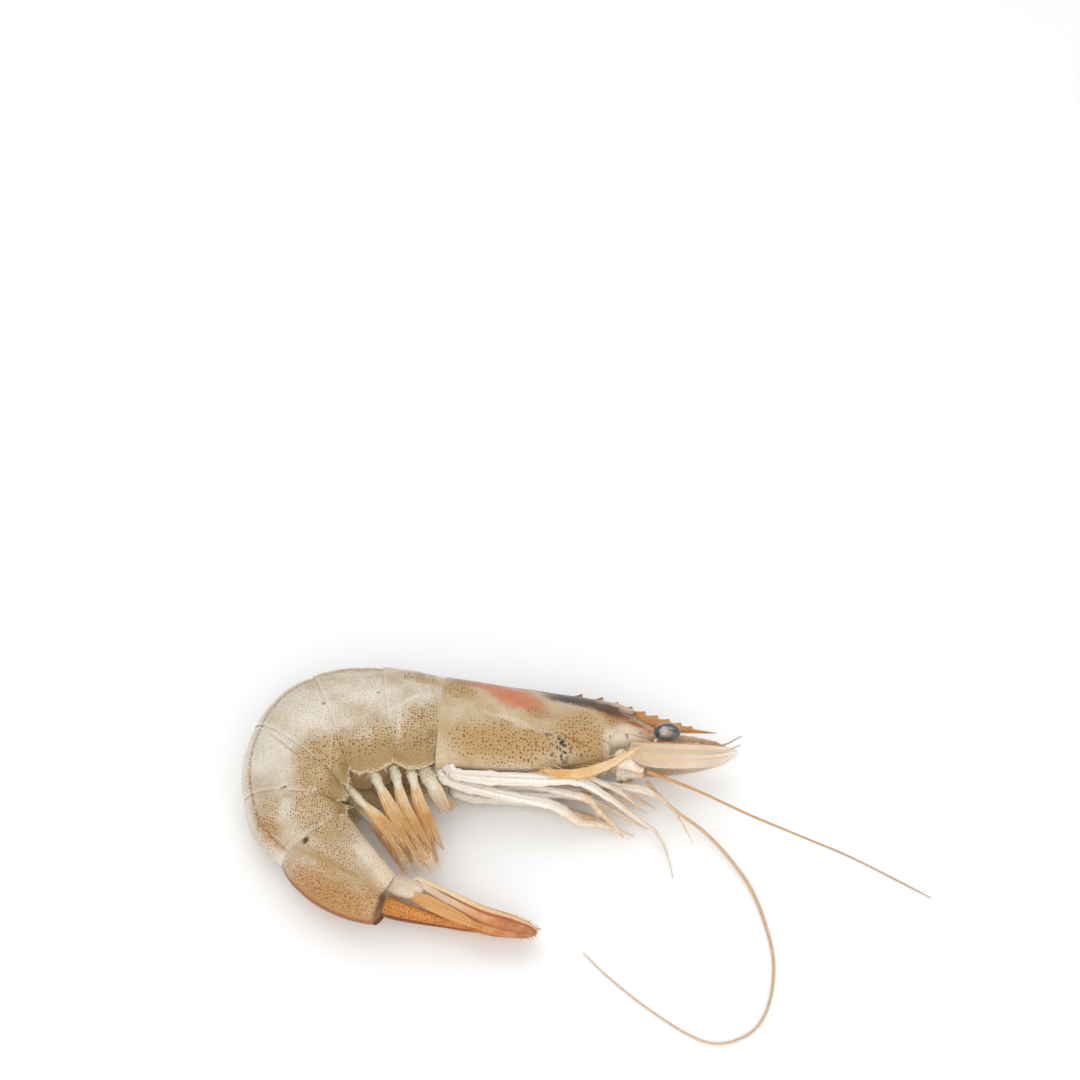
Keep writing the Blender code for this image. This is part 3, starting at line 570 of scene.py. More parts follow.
def bladeFinish(name, look):
    # limbs and blades: colours from root to tip, streaks along, a darker edge and dots
    look = {**plainBlade, **look}
    made, tree, shader, place, coords, skin = startFinish(name)
    colours = put(tree, "ShaderNodeValToRGB", {"Fac": skin[0]})
    steps = colours.color_ramp.elements
    for k, (at, colour) in enumerate(look["along"]):
        step = steps[k] if k < 2 else steps.new(at)
        step.position = at
        step.color = tone(colour)
    colour = colours.outputs["Color"]
    streaks = useGroup(tree, "streaks",
                       {"Skin": coords["UV"], "Lines": look["lines"], "Length": look["length"]})
    streaked = times(tree, streaks["Mask"], look["streakShare"])
    if "streakFrom" in look:
        start = look["streakFrom"]
        streaked = times(tree, streaked, ramp(tree, skin[0], start - 0.1, start + 0.2, 0.2, 1.0))
    colour = layer(tree, colour, streaked, look["streak"])
    flesh = useGroup(tree, "flesh", {"Place": place, "Size": 2.2})
    colour = layer(tree, colour, times(tree, flesh["Tone"], look["cloudShare"]), look["cloud"])
    for middle, width, edgeColour, share, start in look["bands"]:
        uneven = calc(tree, "MULTIPLY_ADD", streaks["Fine"], 0.03, -0.015)
        band = ramp(tree, calc(tree, "ADD", apart(tree, skin[1], middle), uneven), width, width * 0.45)
        band = times(tree, band, ramp(tree, skin[0], start - 0.08, start + 0.08, 0.0, share))
        colour = layer(tree, colour, band, edgeColour)
    if look["dots"]:
        spacing, size, dotColour, share, start = look["dots"]
        dots = dotMask(tree, place, coords, spacing, size, 0.05)
        dots = times(tree, dots, ramp(tree, skin[0], start - 0.05, start + 0.1, 0.0, share))
        colour = layer(tree, colour, dots, dotColour)
    join(tree, colour, shader.inputs["Base Color"])
    if "clear" in look:
        # the thin end lets light through between its fibres
        start, amount = look["clear"]
        thin = times(tree, ramp(tree, skin[0], start, 1.0, 0.0, amount),
                     ramp(tree, streaks["Fine"], 0.62, 0.4, 0.35, 1.0))
        join(tree, calc(tree, "SUBTRACT", 1.0, thin), shader.inputs["Alpha"])
    rough = calc(tree, "MULTIPLY_ADD", streaks["Fine"], 0.25, look["roughness"] - 0.1)
    height = calc(tree, "ADD", streaks["Fine"], flesh["Fine"])
    wetSurface(tree, shader, rough, height, look["bump"], 0.15, 0.18, 0.25)
    return made


# limbs and blades: "along" holds colours from root to tip, a band its place round the limb, width,
# colour, share and start, and the dots their spacing, size, colour, share and start
plainBlade = {"bands": [], "dots": None, "roughness": 0.32, "bump": 0.2}
legLook = {
    "along": [(0.0, (234, 227, 216)), (0.5, (232, 220, 204)), (0.72, (226, 186, 142)),
              (1.0, (224, 166, 106))],
    "lines": 20.0, "length": 3.0, "streak": (208, 184, 152), "streakShare": 0.55,
    "cloud": (236, 231, 222), "cloudShare": 0.6,
    "bands": [(0.5, 0.07, (206, 172, 132), 0.5, 0.05), (0.22, 0.03, (210, 190, 164), 0.6, 0.0)],
    "dots": (1.3, 0.12, (140, 100, 72), 0.35, 0.0), "roughness": 0.34,
}
# a paler copy of the leg finish for three legs: partly their whiter tone, partly painted light that lifts
# the shade they lie in
paleLegLook = dict(legLook,
                   along=[(0.0, (250, 246, 240)), (0.55, (251, 247, 240)), (0.75, (234, 206, 172)),
                          (1.0, (232, 204, 170))])
mouthLegLook = {
    "along": [(0.0, (228, 172, 96)), (0.3, (236, 194, 126)), (0.6, (240, 214, 166)),
              (1.0, (242, 220, 180))],
    "lines": 44.0, "length": 1.6, "streak": (206, 138, 52), "streakShare": 0.75,
    "cloud": (238, 220, 186), "cloudShare": 0.45,
    "bands": [(0.0, 0.04, (196, 126, 50), 0.6, 0.1), (1.0, 0.04, (196, 126, 50), 0.6, 0.1)],
    "roughness": 0.36,
}
swimmerLook = {
    "along": [(0.0, (228, 210, 172)), (0.25, (234, 210, 162)), (0.55, (222, 168, 88)),
              (0.8, (236, 200, 142)), (1.0, (250, 232, 202))],
    "lines": 30.0, "length": 1.0, "streak": (202, 126, 24), "streakShare": 0.85,
    "cloud": (238, 218, 180), "cloudShare": 0.38,
    "bands": [(0.0, 0.05, (208, 130, 44), 0.85, 0.1), (0.5, 0.05, (208, 130, 44), 0.85, 0.1),
              (1.0, 0.05, (208, 130, 44), 0.85, 0.1)],
    "roughness": 0.36, "clear": (0.2, 0.85),
}
swimmerBaseLook = {
    "along": [(0.0, (190, 168, 128)), (0.45, (206, 188, 150)), (0.75, (226, 216, 196)),
              (1.0, (228, 210, 176))],
    "lines": 16.0, "length": 1.4, "streak": (188, 168, 120), "streakShare": 0.45,
    "cloud": (234, 228, 214), "cloudShare": 0.5,
    "dots": (0.9, 0.12, (160, 116, 70), 0.5, 0.0),
}
lowFlapLook = {
    "along": [(0.0, (214, 184, 134)), (1.0, (220, 190, 142))],
    "lines": 5.0, "length": 3.0, "streak": (196, 158, 104), "streakShare": 0.4,
    "cloud": (232, 212, 178), "cloudShare": 0.4,
    "dots": (0.7, 0.1, (150, 104, 56), 0.5, 0.0), "bump": 0.15,
}
stubLook = dict(swimmerLook,
                along=[(0.0, (222, 204, 176)), (0.6, (228, 212, 190)), (1.0, (222, 182, 136))],
                streakShare=0.25)
scaleLook = {
    "along": [(0.0, (202, 176, 140)), (0.3, (202, 180, 154)), (0.7, (228, 211, 194)),
              (1.0, (252, 248, 243))],
    "lines": 26.0, "length": 1.2, "streak": (210, 178, 136), "streakShare": 0.4,
    "cloud": (236, 210, 186), "cloudShare": 0.35, "clear": (0.55, 0.85),
    "bands": [(0.0, 0.1, (200, 132, 54), 0.95, -0.2), (1.0, 0.1, (200, 132, 54), 0.95, -0.2),
              (0.2, 0.05, (194, 172, 136), 0.55, 0.0), (0.8, 0.05, (194, 172, 136), 0.55, 0.0),
              (0.5, 0.08, (230, 206, 182), 0.6, -0.2), (0.3, 0.02, (222, 182, 130), 0.6, 0.0)],
    "roughness": 0.34,
}
outerFanLook = {
    "along": [(0.0, (242, 222, 200)), (0.36, (240, 212, 178)), (0.58, (216, 148, 82)),
              (0.82, (164, 80, 30)), (1.0, (128, 58, 24))],
    "lines": 24.0, "length": 1.1, "streak": (196, 110, 38), "streakShare": 0.55, "streakFrom": 0.42,
    "cloud": (232, 196, 150), "cloudShare": 0.35,
    "bands": [(0.0, 0.06, (206, 138, 62), 0.8, 0.1), (0.1, 0.05, (232, 206, 166), 0.8, 0.0),
              (0.17, 0.028, (158, 82, 32), 0.85, 0.2), (0.31, 0.03, (166, 90, 34), 0.7, 0.3)],
    "dots": (0.5, 0.08, (140, 72, 32), 0.5, 0.45), "bump": 0.22,
}
innerFanLook = {
    "along": [(0.0, (222, 178, 118)), (0.4, (216, 164, 102)), (0.8, (216, 164, 104)),
              (1.0, (204, 138, 76))],
    "lines": 24.0, "length": 1.1, "streak": (196, 118, 44), "streakShare": 0.45,
    "cloud": (220, 170, 100), "cloudShare": 0.3,
    "bands": [(0.0, 0.045, (228, 208, 170), 0.9, 0.0), (1.0, 0.045, (228, 208, 170), 0.9, 0.0),
              (0.5, 0.05, (158, 84, 36), 0.7, 0.0)],
    "dots": (0.46, 0.075, (140, 72, 28), 0.6, 0.0),
}
tailSpikeLook = {
    "along": [(0.0, (202, 136, 58)), (0.3, (206, 132, 40)), (0.8, (202, 122, 38)), (1.0, (176, 96, 34))],
    "lines": 20.0, "length": 1.2, "streak": (186, 106, 34), "streakShare": 0.5,
    "cloud": (214, 160, 84), "cloudShare": 0.25,
    "bands": [(0.27, 0.035, (112, 54, 22), 0.9, 0.0), (0.48, 0.035, (112, 54, 22), 0.9, 0.0),
              (0.73, 0.035, (112, 54, 22), 0.9, 0.0)],
    "dots": (0.46, 0.115, (104, 48, 16), 0.95, 0.0), "roughness": 0.3,
}
stemLook = {
    "along": [(0.0, (222, 202, 178)), (0.6, (226, 206, 184)), (1.0, (228, 210, 190))],
    "lines": 12.0, "length": 1.2, "streak": (206, 178, 146), "streakShare": 0.4,
    "cloud": (200, 186, 168), "cloudShare": 0.45,
    "dots": (0.6, 0.1, (150, 110, 80), 0.45, 0.0),
}
rostrumLook = {
    "along": [(0.0, (170, 104, 46)), (0.34, (190, 118, 50)), (0.6, (208, 142, 70)),
              (1.0, (206, 156, 98))],
    "lines": 14.0, "length": 2.5, "streak": (176, 94, 34), "streakShare": 0.5,
    "cloud": (214, 156, 84), "cloudShare": 0.35,
    "bands": [(0.0, 0.085, (86, 50, 32), 0.92, -0.2), (1.0, 0.085, (86, 50, 32), 0.92, -0.2)],
    "dots": (0.5, 0.11, (118, 66, 36), 0.7, 0.0),
}
feelerBaseLook = {
    "along": [(0.0, (248, 238, 222)), (0.5, (250, 242, 228)), (1.0, (240, 206, 162))],
    "lines": 14.0, "length": 1.5, "streak": (222, 192, 152), "streakShare": 0.3,
    "cloud": (234, 220, 202), "cloudShare": 0.5,
    "dots": (1.0, 0.14, (120, 76, 46), 0.6, 0.0),
}
smallFeelerLook = {
    "along": [(0.0, (196, 162, 120)), (0.55, (200, 168, 128)), (0.8, (176, 158, 138)),
              (1.0, (170, 162, 154))],
    "lines": 12.0, "length": 4.0, "streak": (150, 120, 92), "streakShare": 0.45,
    "cloud": (222, 200, 170), "cloudShare": 0.4,
    "dots": (0.6, 0.12, (110, 72, 48), 0.7, 0.0), "roughness": 0.34, "bump": 0.15,
}
rightFeelerLook = {
    "along": [(0.0, (206, 146, 74)), (0.18, (200, 150, 92)), (0.45, (190, 156, 122)),
              (1.0, (176, 156, 136))],
    "lines": 8.0, "length": 90.0, "streak": (160, 122, 86), "streakShare": 0.4,
    "cloud": (214, 180, 140), "cloudShare": 0.3, "roughness": 0.4, "bump": 0.08,
}
leftFeelerLook = dict(rightFeelerLook, along=[(0.0, (214, 178, 140)), (0.3, (206, 174, 138)),
                                              (0.7, (208, 176, 150)), (1.0, (214, 186, 164))])


def eyeFinish(name, look):
    # a dark glossy ball with a painted highlight and a small painted glint, and a pale stalk
    made, tree, shader, place, _, skin = startFinish(name)
    bent = wobble(tree, place, 0.8, 0.6)
    noise = noiseAt(tree, place, 1.1, 3.0)["Fac"]
    colour = blendColour(tree, ramp(tree, noise, 0.35, 0.65), look["dark"], look["grey"])
    # painted highlight: a pale silvery patch and a small warm glint stand for reflections of the light on
    # the glossy eye
    paintedHighlight = zoneMask(tree, bent, look["paintedHighlight"], 0.35)
    colour = layer(tree, colour, paintedHighlight, look["highlightTone"], 0.9)
    glint = zoneMask(tree, bent, look["glint"], 0.8)
    colour = layer(tree, colour, glint, look["glintTone"], 0.7)
    stalk = ramp(tree, skin[0], 0.51, 0.44)
    colour = layer(tree, colour, stalk, look["stalk"])
    join(tree, colour, shader.inputs["Base Color"])
    join(tree, calc(tree, "MULTIPLY_ADD", noise, 0.1, 0.08), shader.inputs["Roughness"])
    shader.inputs["Coat Weight"].default_value = 0.8
    shader.inputs["Coat Roughness"].default_value = 0.05
    return made


eyeLook = {
    "dark": (46, 42, 42), "grey": (92, 84, 80), "highlightTone": (190, 182, 176), "glintTone": (186, 116, 68),
    "stalk": (196, 172, 142),
    # zones of the painted highlight and the painted glint
    "paintedHighlight": [(17.5, 22.3, 0.95, 0.8, 20, 0.85), (18.9, 22.6, 0.5, 0.3, 0, 0.5)],
    "glint": [(18.6, 21.7, 0.55, 0.26, 30, 0.8)],
}


def bristleFinish(name, look):
    made, tree, shader, place = startFinish(name)[:4]
    noise = noiseAt(tree, place, 0.8, 2.0)["Fac"]
    colour = blendColour(tree, ramp(tree, noise, 0.35, 0.65), look["root"], look["tip"])
    join(tree, colour, shader.inputs["Base Color"])
    join(tree, calc(tree, "MULTIPLY_ADD", noise, 0.2, 0.35), shader.inputs["Roughness"])
    return made


amberBristleLook = {"root": (220, 166, 90), "tip": (246, 218, 172)}
paleBristleLook = {"root": (230, 214, 194), "tip": (240, 234, 226)}
creamBristleLook = {"root": (212, 188, 146), "tip": (232, 220, 196)}
rustBristleLook = {"root": (172, 96, 56), "tip": (204, 146, 104)}

finishes = {
    "head": headFinish("headShell", headLook),
    "face": headFinish("faceSkin", faceLook),
    "rostrum": bladeFinish("rostrumShell", rostrumLook),
    "leg": bladeFinish("legSkin", legLook),
    "paleLeg": bladeFinish("paleLegSkin", paleLegLook),
    "mouthLeg": bladeFinish("mouthLegSkin", mouthLegLook),
    "swimmer": bladeFinish("swimmerSkin", swimmerLook),
    "lowFlap": bladeFinish("lowFlapSkin", lowFlapLook),
    "stub": bladeFinish("firstSwimmerSkin", stubLook),
    "swimmerBase": bladeFinish("swimmerBaseSkin", swimmerBaseLook),
    "scale": bladeFinish("feelerScaleSkin", scaleLook),
    "outerFan": bladeFinish("outerFanShell", outerFanLook),
    "innerFan": bladeFinish("innerFanShell", innerFanLook),
    "tailSpike": bladeFinish("tailSpikeShell", tailSpikeLook),
    "stem": bladeFinish("fanStemShell", stemLook),
    "feelerBase": bladeFinish("feelerBaseSkin", feelerBaseLook),
    "smallFeeler": bladeFinish("smallFeelerSkin", smallFeelerLook),
    "rightFeeler": bladeFinish("rightFeelerSkin", rightFeelerLook),
    "leftFeeler": bladeFinish("leftFeelerSkin", leftFeelerLook),
    "eye": eyeFinish("eyeGloss", eyeLook),
    "amberBristle": bristleFinish("amberBristle", amberBristleLook),
    "paleBristle": bristleFinish("paleBristle", paleBristleLook),
    "creamBristle": bristleFinish("creamBristle", creamBristleLook),
    "rustBristle": bristleFinish("rustBristle", rustBristleLook),
}
for number in range(1, 7):
    finishes[f"ring{number}"] = shellFinish(f"ringShell{number}", shellLook, number)
print("finishes ready")

# the body that the shells follow

body = {
    # x, y, height of the plane of symmetry, half depth, half width, heading towards the tail
    "stations": [
        (35.5, 6.9, 8.1, 3.7, 3.0, 170), (28.6, 8.2, 8.1, 7.0, 5.4, 176), (18.0, 8.4, 8.1, 9.3, 7.3, 179),
        (6.6, 8.6, 8.1, 11.0, 8.3, 178), (-10.2, 10.4, 8.1, 12.3, 8.5, 175.5),
        (-21.8, 11.8, 8.1, 13.7, 8.5, 188), (-33.9, 9.9, 8.1, 14.3, 8.4, 201),
        (-40.4, 2.2, 7.9, 13.4, 8.1, 231), (-41.2, -8.5, 7.5, 10.7, 7.6, 264),
        (-35.8, -16.9, 7.0, 8.5, 6.8, 304), (-20.9, -30.0, 6.4, 5.3, 4.8, 333),
    ],
    "forehead": 1,
    "collar": 4,
    "gap": 0.4,
    "upperSteps": 6,
    "lowerLevels": (0.25, 0.5, 0.7, 0.86, 0.96),
    "sideSquareness": 3.2,
    "bellyPoints": ((0.36, 0.86), (0.2, 0.62)),
}
headPlane = 8.1


def bodyAt(place):
    x, y, z, depth, width, heading = smoothRow(body["stations"], place)
    turn = math.radians(heading)
    tailward = Vector((math.cos(turn), math.sin(turn), 0))
    back = Vector((tailward.y, -tailward.x, 0))
    return Vector((x, y, z)), tailward, back, depth, width


def ringLength(start):
    one, other = (Vector(body["stations"][start + k][:2]) for k in (0, 1))
    return (other - one).length


def ringOutline(depth, width, hollow, lobe, keel, hump):
    # side and height, from the back down the right side, over the belly and up the left
    right = []
    for step in range(1, body["upperSteps"] + 1):
        angle = math.pi / 2 * step / body["upperSteps"]
        right.append((width * math.sin(angle), depth * (1 + hump) * math.cos(angle)))
    power = body["sideSquareness"]
    for level in body["lowerLevels"]:
        right.append((width * (1 - level**power) ** (1 / power), -depth * lobe * level))
    edge = right[-1][1]
    for side, share in body["bellyPoints"]:
        right.append((width * side, edge + (1 - share) * (-depth * hollow - edge)))
    left = [(-side, height) for side, height in reversed(right)]
    return [(0.0, depth * (1 + hump + keel)), *right, (0.0, -depth * hollow), *left]


def shellRing(place, size, hollow, lobe=1.0, keel=0.0, slant=0.0, hump=0.0, relief=None, share=0.0,
              rim=None):
    centre, tailward, back, depth, width = bodyAt(place)
    outline = ringOutline(depth * size, width * size, hollow, lobe, keel, hump)

    def pointAt(turn):
        side, height = smoothLoop(outline, turn)
        if relief:
            lift = relief(share, turn, centre + back * height)
            reach = math.hypot(side, height) or 1.0
            side, height = side * (1 + lift / reach), height * (1 + lift / reach)
        ahead = slant * height + (rim(turn) if rim else 0.0)
        return centre + Vector((0, 0, side)) + back * height - tailward * ahead

    return pointAt


def addBristle(bm, points, width):
    # one hair: a three-sided cone bent along a short smooth line
    steps = 5
    last = len(points) - 1
    corners = bmesh.ops.create_circle(bm, cap_ends=True, segments=3, radius=1)["verts"]
    cap = corners[0].link_faces[0]
    corners = list(cap.verts)
    for step in range(steps + 1):
        share = step / steps
        if step:
            added = bmesh.ops.extrude_face_region(bm, geom=[cap])["geom"]
            cap = [item for item in added if isinstance(item, bmesh.types.BMFace)][0]
            corners = [min(cap.verts, key=lambda vert: (vert.co - old).length) for old in spots]
        row = Vector(smoothRow(points, share * last))
        ahead = Vector(smoothRow(points, min(1, share + 0.05) * last))
        behind = Vector(smoothRow(points, max(0, share - 0.05) * last))
        along = (ahead - behind).normalized()
        wide = along.cross(Vector((0.31, 0.22, 0.93))).normalized()
        thin = width * (1 - 0.75 * share)
        for k, vert in enumerate(corners):
            angle = 2 * math.pi * k / 3
            off = wide * math.cos(angle) * thin + along.cross(wide) * math.sin(angle) * thin
            vert.co = (row + off - planMiddle) * mm
        spots = [vert.co.copy() for vert in corners]


# the six rings of the tail, each a shell over its flesh

ringLook = {
    "profile": [(0.984,), (0.988,), (0.992,), (0.996,), (0.999,), (1.0,), (1.001,), (1.002,), (1.003,),
                (1.004,), (1.005,)],
    "steps": 30,
    "around": 112,
    # mm from the ring's end, and size: the part under the hem before it, and its own hem
    "front": [(-1.1, 0.955), (-1.0, 0.972), (-0.4, 0.979)],
    "hem": [(0.3, 1.005), (0.44, 1.002), (0.46, 0.998), (0.34, 0.992), (-0.7, 0.985), (-0.8, 0.95)],
    "humps": (0.0, 0.0, 0.03, 0.02, 0.05, 0.4),
    "keels": (0.0, 0.0, 0.0, 0.0, 0.03, 0.03),
    "hollows": (0.62, 0.62, 0.62, 0.62, 0.62, 0.9),
    "lobe": 0.14,
    "furrow": 0.13,
    "unevenness": 0.09,
}


def ringLobe(index, share):
    if index == 5:
        return 1.0
    return 1 - ringLook["lobe"] * (1 - math.sin(math.pi * (0.1 + 0.8 * share)))


def ringSize(share):
    profile = ringLook["profile"]
    return smoothRow(profile, min(1, share) * (len(profile) - 1))[0]


def buildRing(index):
    look = ringLook
    start = body["collar"] + index
    length = ringLength(start)
    trim = body["gap"] / 2 / length
    hump, keel, hollow = (look[key][index] for key in ("humps", "keels", "hollows"))

    def relief(share, turn, point):
        fromBack = min(turn, 1 - turn)
        lift = look["unevenness"] * ripple(point.x, point.y + fromBack * 30, 4.2)
        if 0 < share < 1:
            fade = max(0.0, 1 - fromBack / 0.36)
            lift -= look["furrow"] * bell(share, 0.3 + 0.12 * fromBack, 0.05) * fade
            lift += 0.07 * bell(share, 0.93, 0.04)
        if index == 5:
            lift += 0.45 * bell(fromBack, 0.17, 0.02) * math.sin(math.pi * min(1, max(0, share)))
            lift += 0.3 * bell(fromBack, 0.27, 0.02) * math.sin(math.pi * min(1, max(0, share)))
        return lift

    def ringAt(share, extra, size):
        place = start + trim + (1 - 2 * trim) * share + extra / length
        tall = hump * math.sin(math.pi * min(1, max(0, share)))
        make = shellRing(place, size, hollow, ringLobe(index, share), keel, hump=tall, relief=relief,
                         share=share)
        return (share + extra * 0.004, make)

    rings = [ringAt(0.0, extra, size) for extra, size in look["front"]]
    for step in range(look["steps"] + 1):
        share = step / look["steps"]
        rings.append(ringAt(share, 0.0, ringSize(share)))
    rings += [ringAt(1.0, extra, size) for extra, size in look["hem"]]
    rings.append(rings[-1])
    bm = bentSkin([rings[0], *rings], look["around"])
    return finishPiece(f"tailRing{index + 1}", bm, finishes[f"ring{index + 1}"],
                       [f"abdomen_{index + 1}"], onTable=True)


flapLook = {
    "from": 0.42, "steps": 30, "across": 14, "thickness": 0.16, "lift": 0.1,
    "spread": (0.0, 1.05), "teeth": (9, 10, 12, 10, 9), "tooth": (0.03, 0.07, 0.09, 0.08, 0.05),
    "hang": 0.04,
    "splay": (0.08, 0.2, 0.24, 0.2, 0.08),  # how far each lower flap hangs out
    "bend": 0.93, "turnIn": {1: -0.9, -1: 0.55},  # where the margin turns, and how, by side
    "map": (0.28, 0.114),  # place and reach on the skin map
}


def buildFlap(index, side):
    # the thin side flap of a ring, hanging past its edge, with a saw-toothed margin
    look = flapLook
    start = body["collar"] + index
    bm = bmesh.new()
    uv = bm.loops.layers.uv.new("skin")
    bmesh.ops.create_grid(bm, x_segments=look["steps"] * 2, y_segments=look["across"], size=0.5,
                          calc_uvs=True)
    first, last = look["spread"]
    power = body["sideSquareness"]
    for vert in bm.verts:
        along, down = vert.co.x + 0.5, vert.co.y + 0.5
        share = first + (last - first) * along
        centre, _, back, depth, width = bodyAt(start + share)
        size = ringSize(share)
        saw = (along * look["teeth"][index] + 0.8 * math.sin(along * 9 + index)) % 1.0
        ragged = 0.6 + 0.6 * math.sin(along * 11 + 2.1 * index) * math.sin(along * 5.3 + index)
        hang = look["hang"] if side > 0 else look["splay"][index]
        end = 1.0 + hang * max(0.0, math.sin(math.pi * along)) ** 0.5
        tooth = look["tooth"][index] * (1.0 if side > 0 else 0.35)
        end += tooth * (1 - saw) * ragged * min(1, 6 * along * (1 - along))
        level = look["from"] + (end - look["from"]) * down
        flat = min(level, look["bend"])
        reach = (1 - flat**power) ** (1 / power) + max(0.0, level - look["bend"]) * look["turnIn"][side]
        lift = look["lift"] * min(1, 3 * down) + 0.25 * max(0, level - 0.9)
        height = -depth * size * ringLobe(index, min(1, share)) * level
        out = (width * size * reach + lift) * side
        vert.co = (centre + Vector((0, 0, out)) + back * (height - lift * 0.3) - planMiddle) * mm
    for face in bm.faces:
        face.smooth = True
        for loop in face.loops:
            u, v = loop[uv].uv
            turn = look["map"][0] + look["map"][1] * v
            loop[uv].uv = (0.1 + 0.86 * u, turn if side > 0 else 1 - turn)
    bmesh.ops.recalc_face_normals(bm, faces=bm.faces)
    outward = sum((face.normal.z * side for face in bm.faces), 0.0)
    if outward < 0:
        bmesh.ops.reverse_faces(bm, faces=bm.faces)
    bmesh.ops.solidify(bm, geom=[*bm.verts, *bm.edges, *bm.faces], thickness=look["thickness"] * mm)
    word = "Right" if side > 0 else "Left"
    finish = finishes[f"ring{index + 1}" if side > 0 else "lowFlap"]
    return finishPiece(f"sideFlap{word}{index + 1}", bm, finish, sharpen=60, onTable=True)


flapSpineLook = {"seed": 61, "counts": (3, 6, 10, 8, 3), "length": (0.5, 2.1), "width": 0.09, "lean": 0.7}


def buildFlapSpines(index):
    # the pale spines along the margin of an upper side flap
    look = flapSpineLook
    draw = random.Random(look["seed"] + index * 2)
    start = body["collar"] + index
    bm = bmesh.new()
    count = look["counts"][index]
    for number in range(count):
        share = 0.08 + 0.86 * (number + draw.random()) / count
        centre, tailward, back, depth, width = bodyAt(start + share)
        level = ringLobe(index, share)
        root = centre - back * depth * level * 1.02 + Vector((0, 0, width * 0.5))
        reach = look["length"][0] + (look["length"][1] - look["length"][0]) * draw.random() ** 2
        swing = tailward * look["lean"] * (draw.random() * 2 - 1)
        lean = (-back + swing + Vector((0, 0, 0.4 * (draw.random() - 0.3)))).normalized()
        points = [root, root + lean * reach * 0.5, root + lean * reach * 0.8 + tailward * 0.12,
                  root + lean * reach + tailward * 0.3]
        for point in points:
            point.z = max(point.z, 0.15)
        addBristle(bm, points, look["width"])
    bmesh.ops.recalc_face_normals(bm, faces=bm.faces)
    return finishPiece(f"flapSpinesRight{index + 1}", bm, finishes["creamBristle"])


for index in range(6):
    buildRing(index)
for index in range(5):
    for side in (1, -1):
        buildFlap(index, side)
    buildFlapSpines(index)
print("tail rings and side flaps built")

# head shield

headBuild = {
    "steps": 84, "around": 150, "frontSize": 0.93, "frontShare": 0.13, "flare": 0.012,
    # the front edge, with eye notch, feeler spine and lower notches: place from the back, mm forward, width
    "rim": [(0.105, -2.6, 0.03), (0.165, 1.9, 0.014), (0.225, -1.4, 0.03), (0.3, -1.2, 0.05)],
    "rimShare": 0.09,
    "slant": 0.42, "slantReach": 1.3, "hollow": 0.86, "keel": 0.03, "unevenness": 0.1,
    "hem": [(0.3, 1.013), (0.42, 1.006), (0.42, 0.998), (0.3, 0.99), (-0.8, 0.98), (-0.9, 0.95)],
    # grooves and ridges, as row-frame lines with their depth and width in mm
    "creases": [
        ([(-19.5, 25.5), (-14.0, 23.4), (-8.0, 21.6), (-3.5, 20.5), (1.2, 18.7)], -0.34, 0.7),
        ([(-19.5, 26.8), (-13.0, 24.9), (-7.0, 23.0), (-2.0, 21.6)], 0.2, 0.7),
        ([(-9.0, 31.5), (-7.4, 28.0), (-8.6, 24.6), (-6.0, 21.6)], -0.26, 0.7),
        ([(-24.5, 32.0), (-17.0, 29.6), (-10.0, 26.0)], 0.16, 0.9),
        ([(-1.0, 26.5), (4.0, 24.8), (8.0, 22.6)], 0.22, 0.7),
        ([(-28.0, 16.8), (-20.0, 15.6), (-8.0, 15.3), (3.0, 15.6)], 0.16, 0.8),
        ([(-28.4, 20.0), (-27.0, 16.6), (-24.0, 14.6)], -0.2, 0.8),
    ],
}


def awayFromLine(x, y, line):
    nearest = 1e9
    for (x0, y0), (x1, y1) in zip(line, line[1:]):
        dx, dy = x1 - x0, y1 - y0
        t = min(1, max(0, ((x - x0) * dx + (y - y0) * dy) / (dx * dx + dy * dy)))
        nearest = min(nearest, math.hypot(x - x0 - dx * t, y - y0 - dy * t))
    return nearest


def headRelief(share, turn, point):
    x, y = point.x - planMiddle.x, point.y - planMiddle.y
    lift = headBuild["unevenness"] * ripple(x, y, 3.6)
    for line, depth, width in headBuild["creases"]:
        away = awayFromLine(x, y, line)
        if away < 3 * width:
            lift += depth * bell(away, 0, width)
    return lift


def buildHeadShield():
    look = headBuild
    end = body["collar"] - body["gap"] / 2 / ringLength(body["collar"] - 1)
    length = ringLength(body["collar"] - 1)

    def ringAt(share, extra=0.0, size=None):
        place = body["forehead"] + (end - body["forehead"]) * share
        slant = look["slant"] * max(0.0, 1 - (place - body["forehead"]) / look["slantReach"])
        if size is None:
            size = look["frontSize"] + (1 - look["frontSize"]) * min(1.0, share / look["frontShare"])
            size += look["flare"] * share
        place += extra / length
        fade = max(0.0, 1 - share / look["rimShare"])

        def rim(turn):
            fromBack = min(turn, 1 - turn)
            return fade * sum(reach * bell(fromBack, middle, width) for middle, reach,
                              width in look["rim"])

        make = shellRing(place, size, look["hollow"], keel=look["keel"], slant=slant, relief=headRelief,
                         share=share, rim=rim)
        return (share + extra * 0.004, make)

    rings = [ringAt(0.0, 0.3, 0.8), ringAt(0.0, 0.05, 0.9), ringAt(0.0, -0.02, 0.925)]
    rings += [ringAt(step / look["steps"]) for step in range(look["steps"] + 1)]
    rings += [ringAt(1.0, extra, size) for extra, size in look["hem"]]
    bm = bentSkin([rings[0], *rings, rings[-1]], look["around"])
    return finishPiece("headShield", bm, finishes["head"], ["carapace"], onTable=True)


faceBuild = {"places": (0.0, 1.6), "steps": 24, "around": 64, "size": 0.88, "hollow": 0.62, "lobe": 0.62}


def buildFace():
    look = faceBuild
    rings = []
    for step in range(look["steps"] + 1):
        share = step / look["steps"]
        place = look["places"][0] + (look["places"][1] - look["places"][0]) * share
        size = look["size"] * (1 - 0.12 * bell(share, 0, 0.08))
        make = shellRing(place, size, look["hollow"], look["lobe"], relief=headRelief, share=share)
        rings.append((0.1 + 0.2 * share, make))
    bm = bentSkin([rings[0], *rings, rings[-1]], look["around"])
    return finishPiece("faceBlock", bm, finishes["face"])


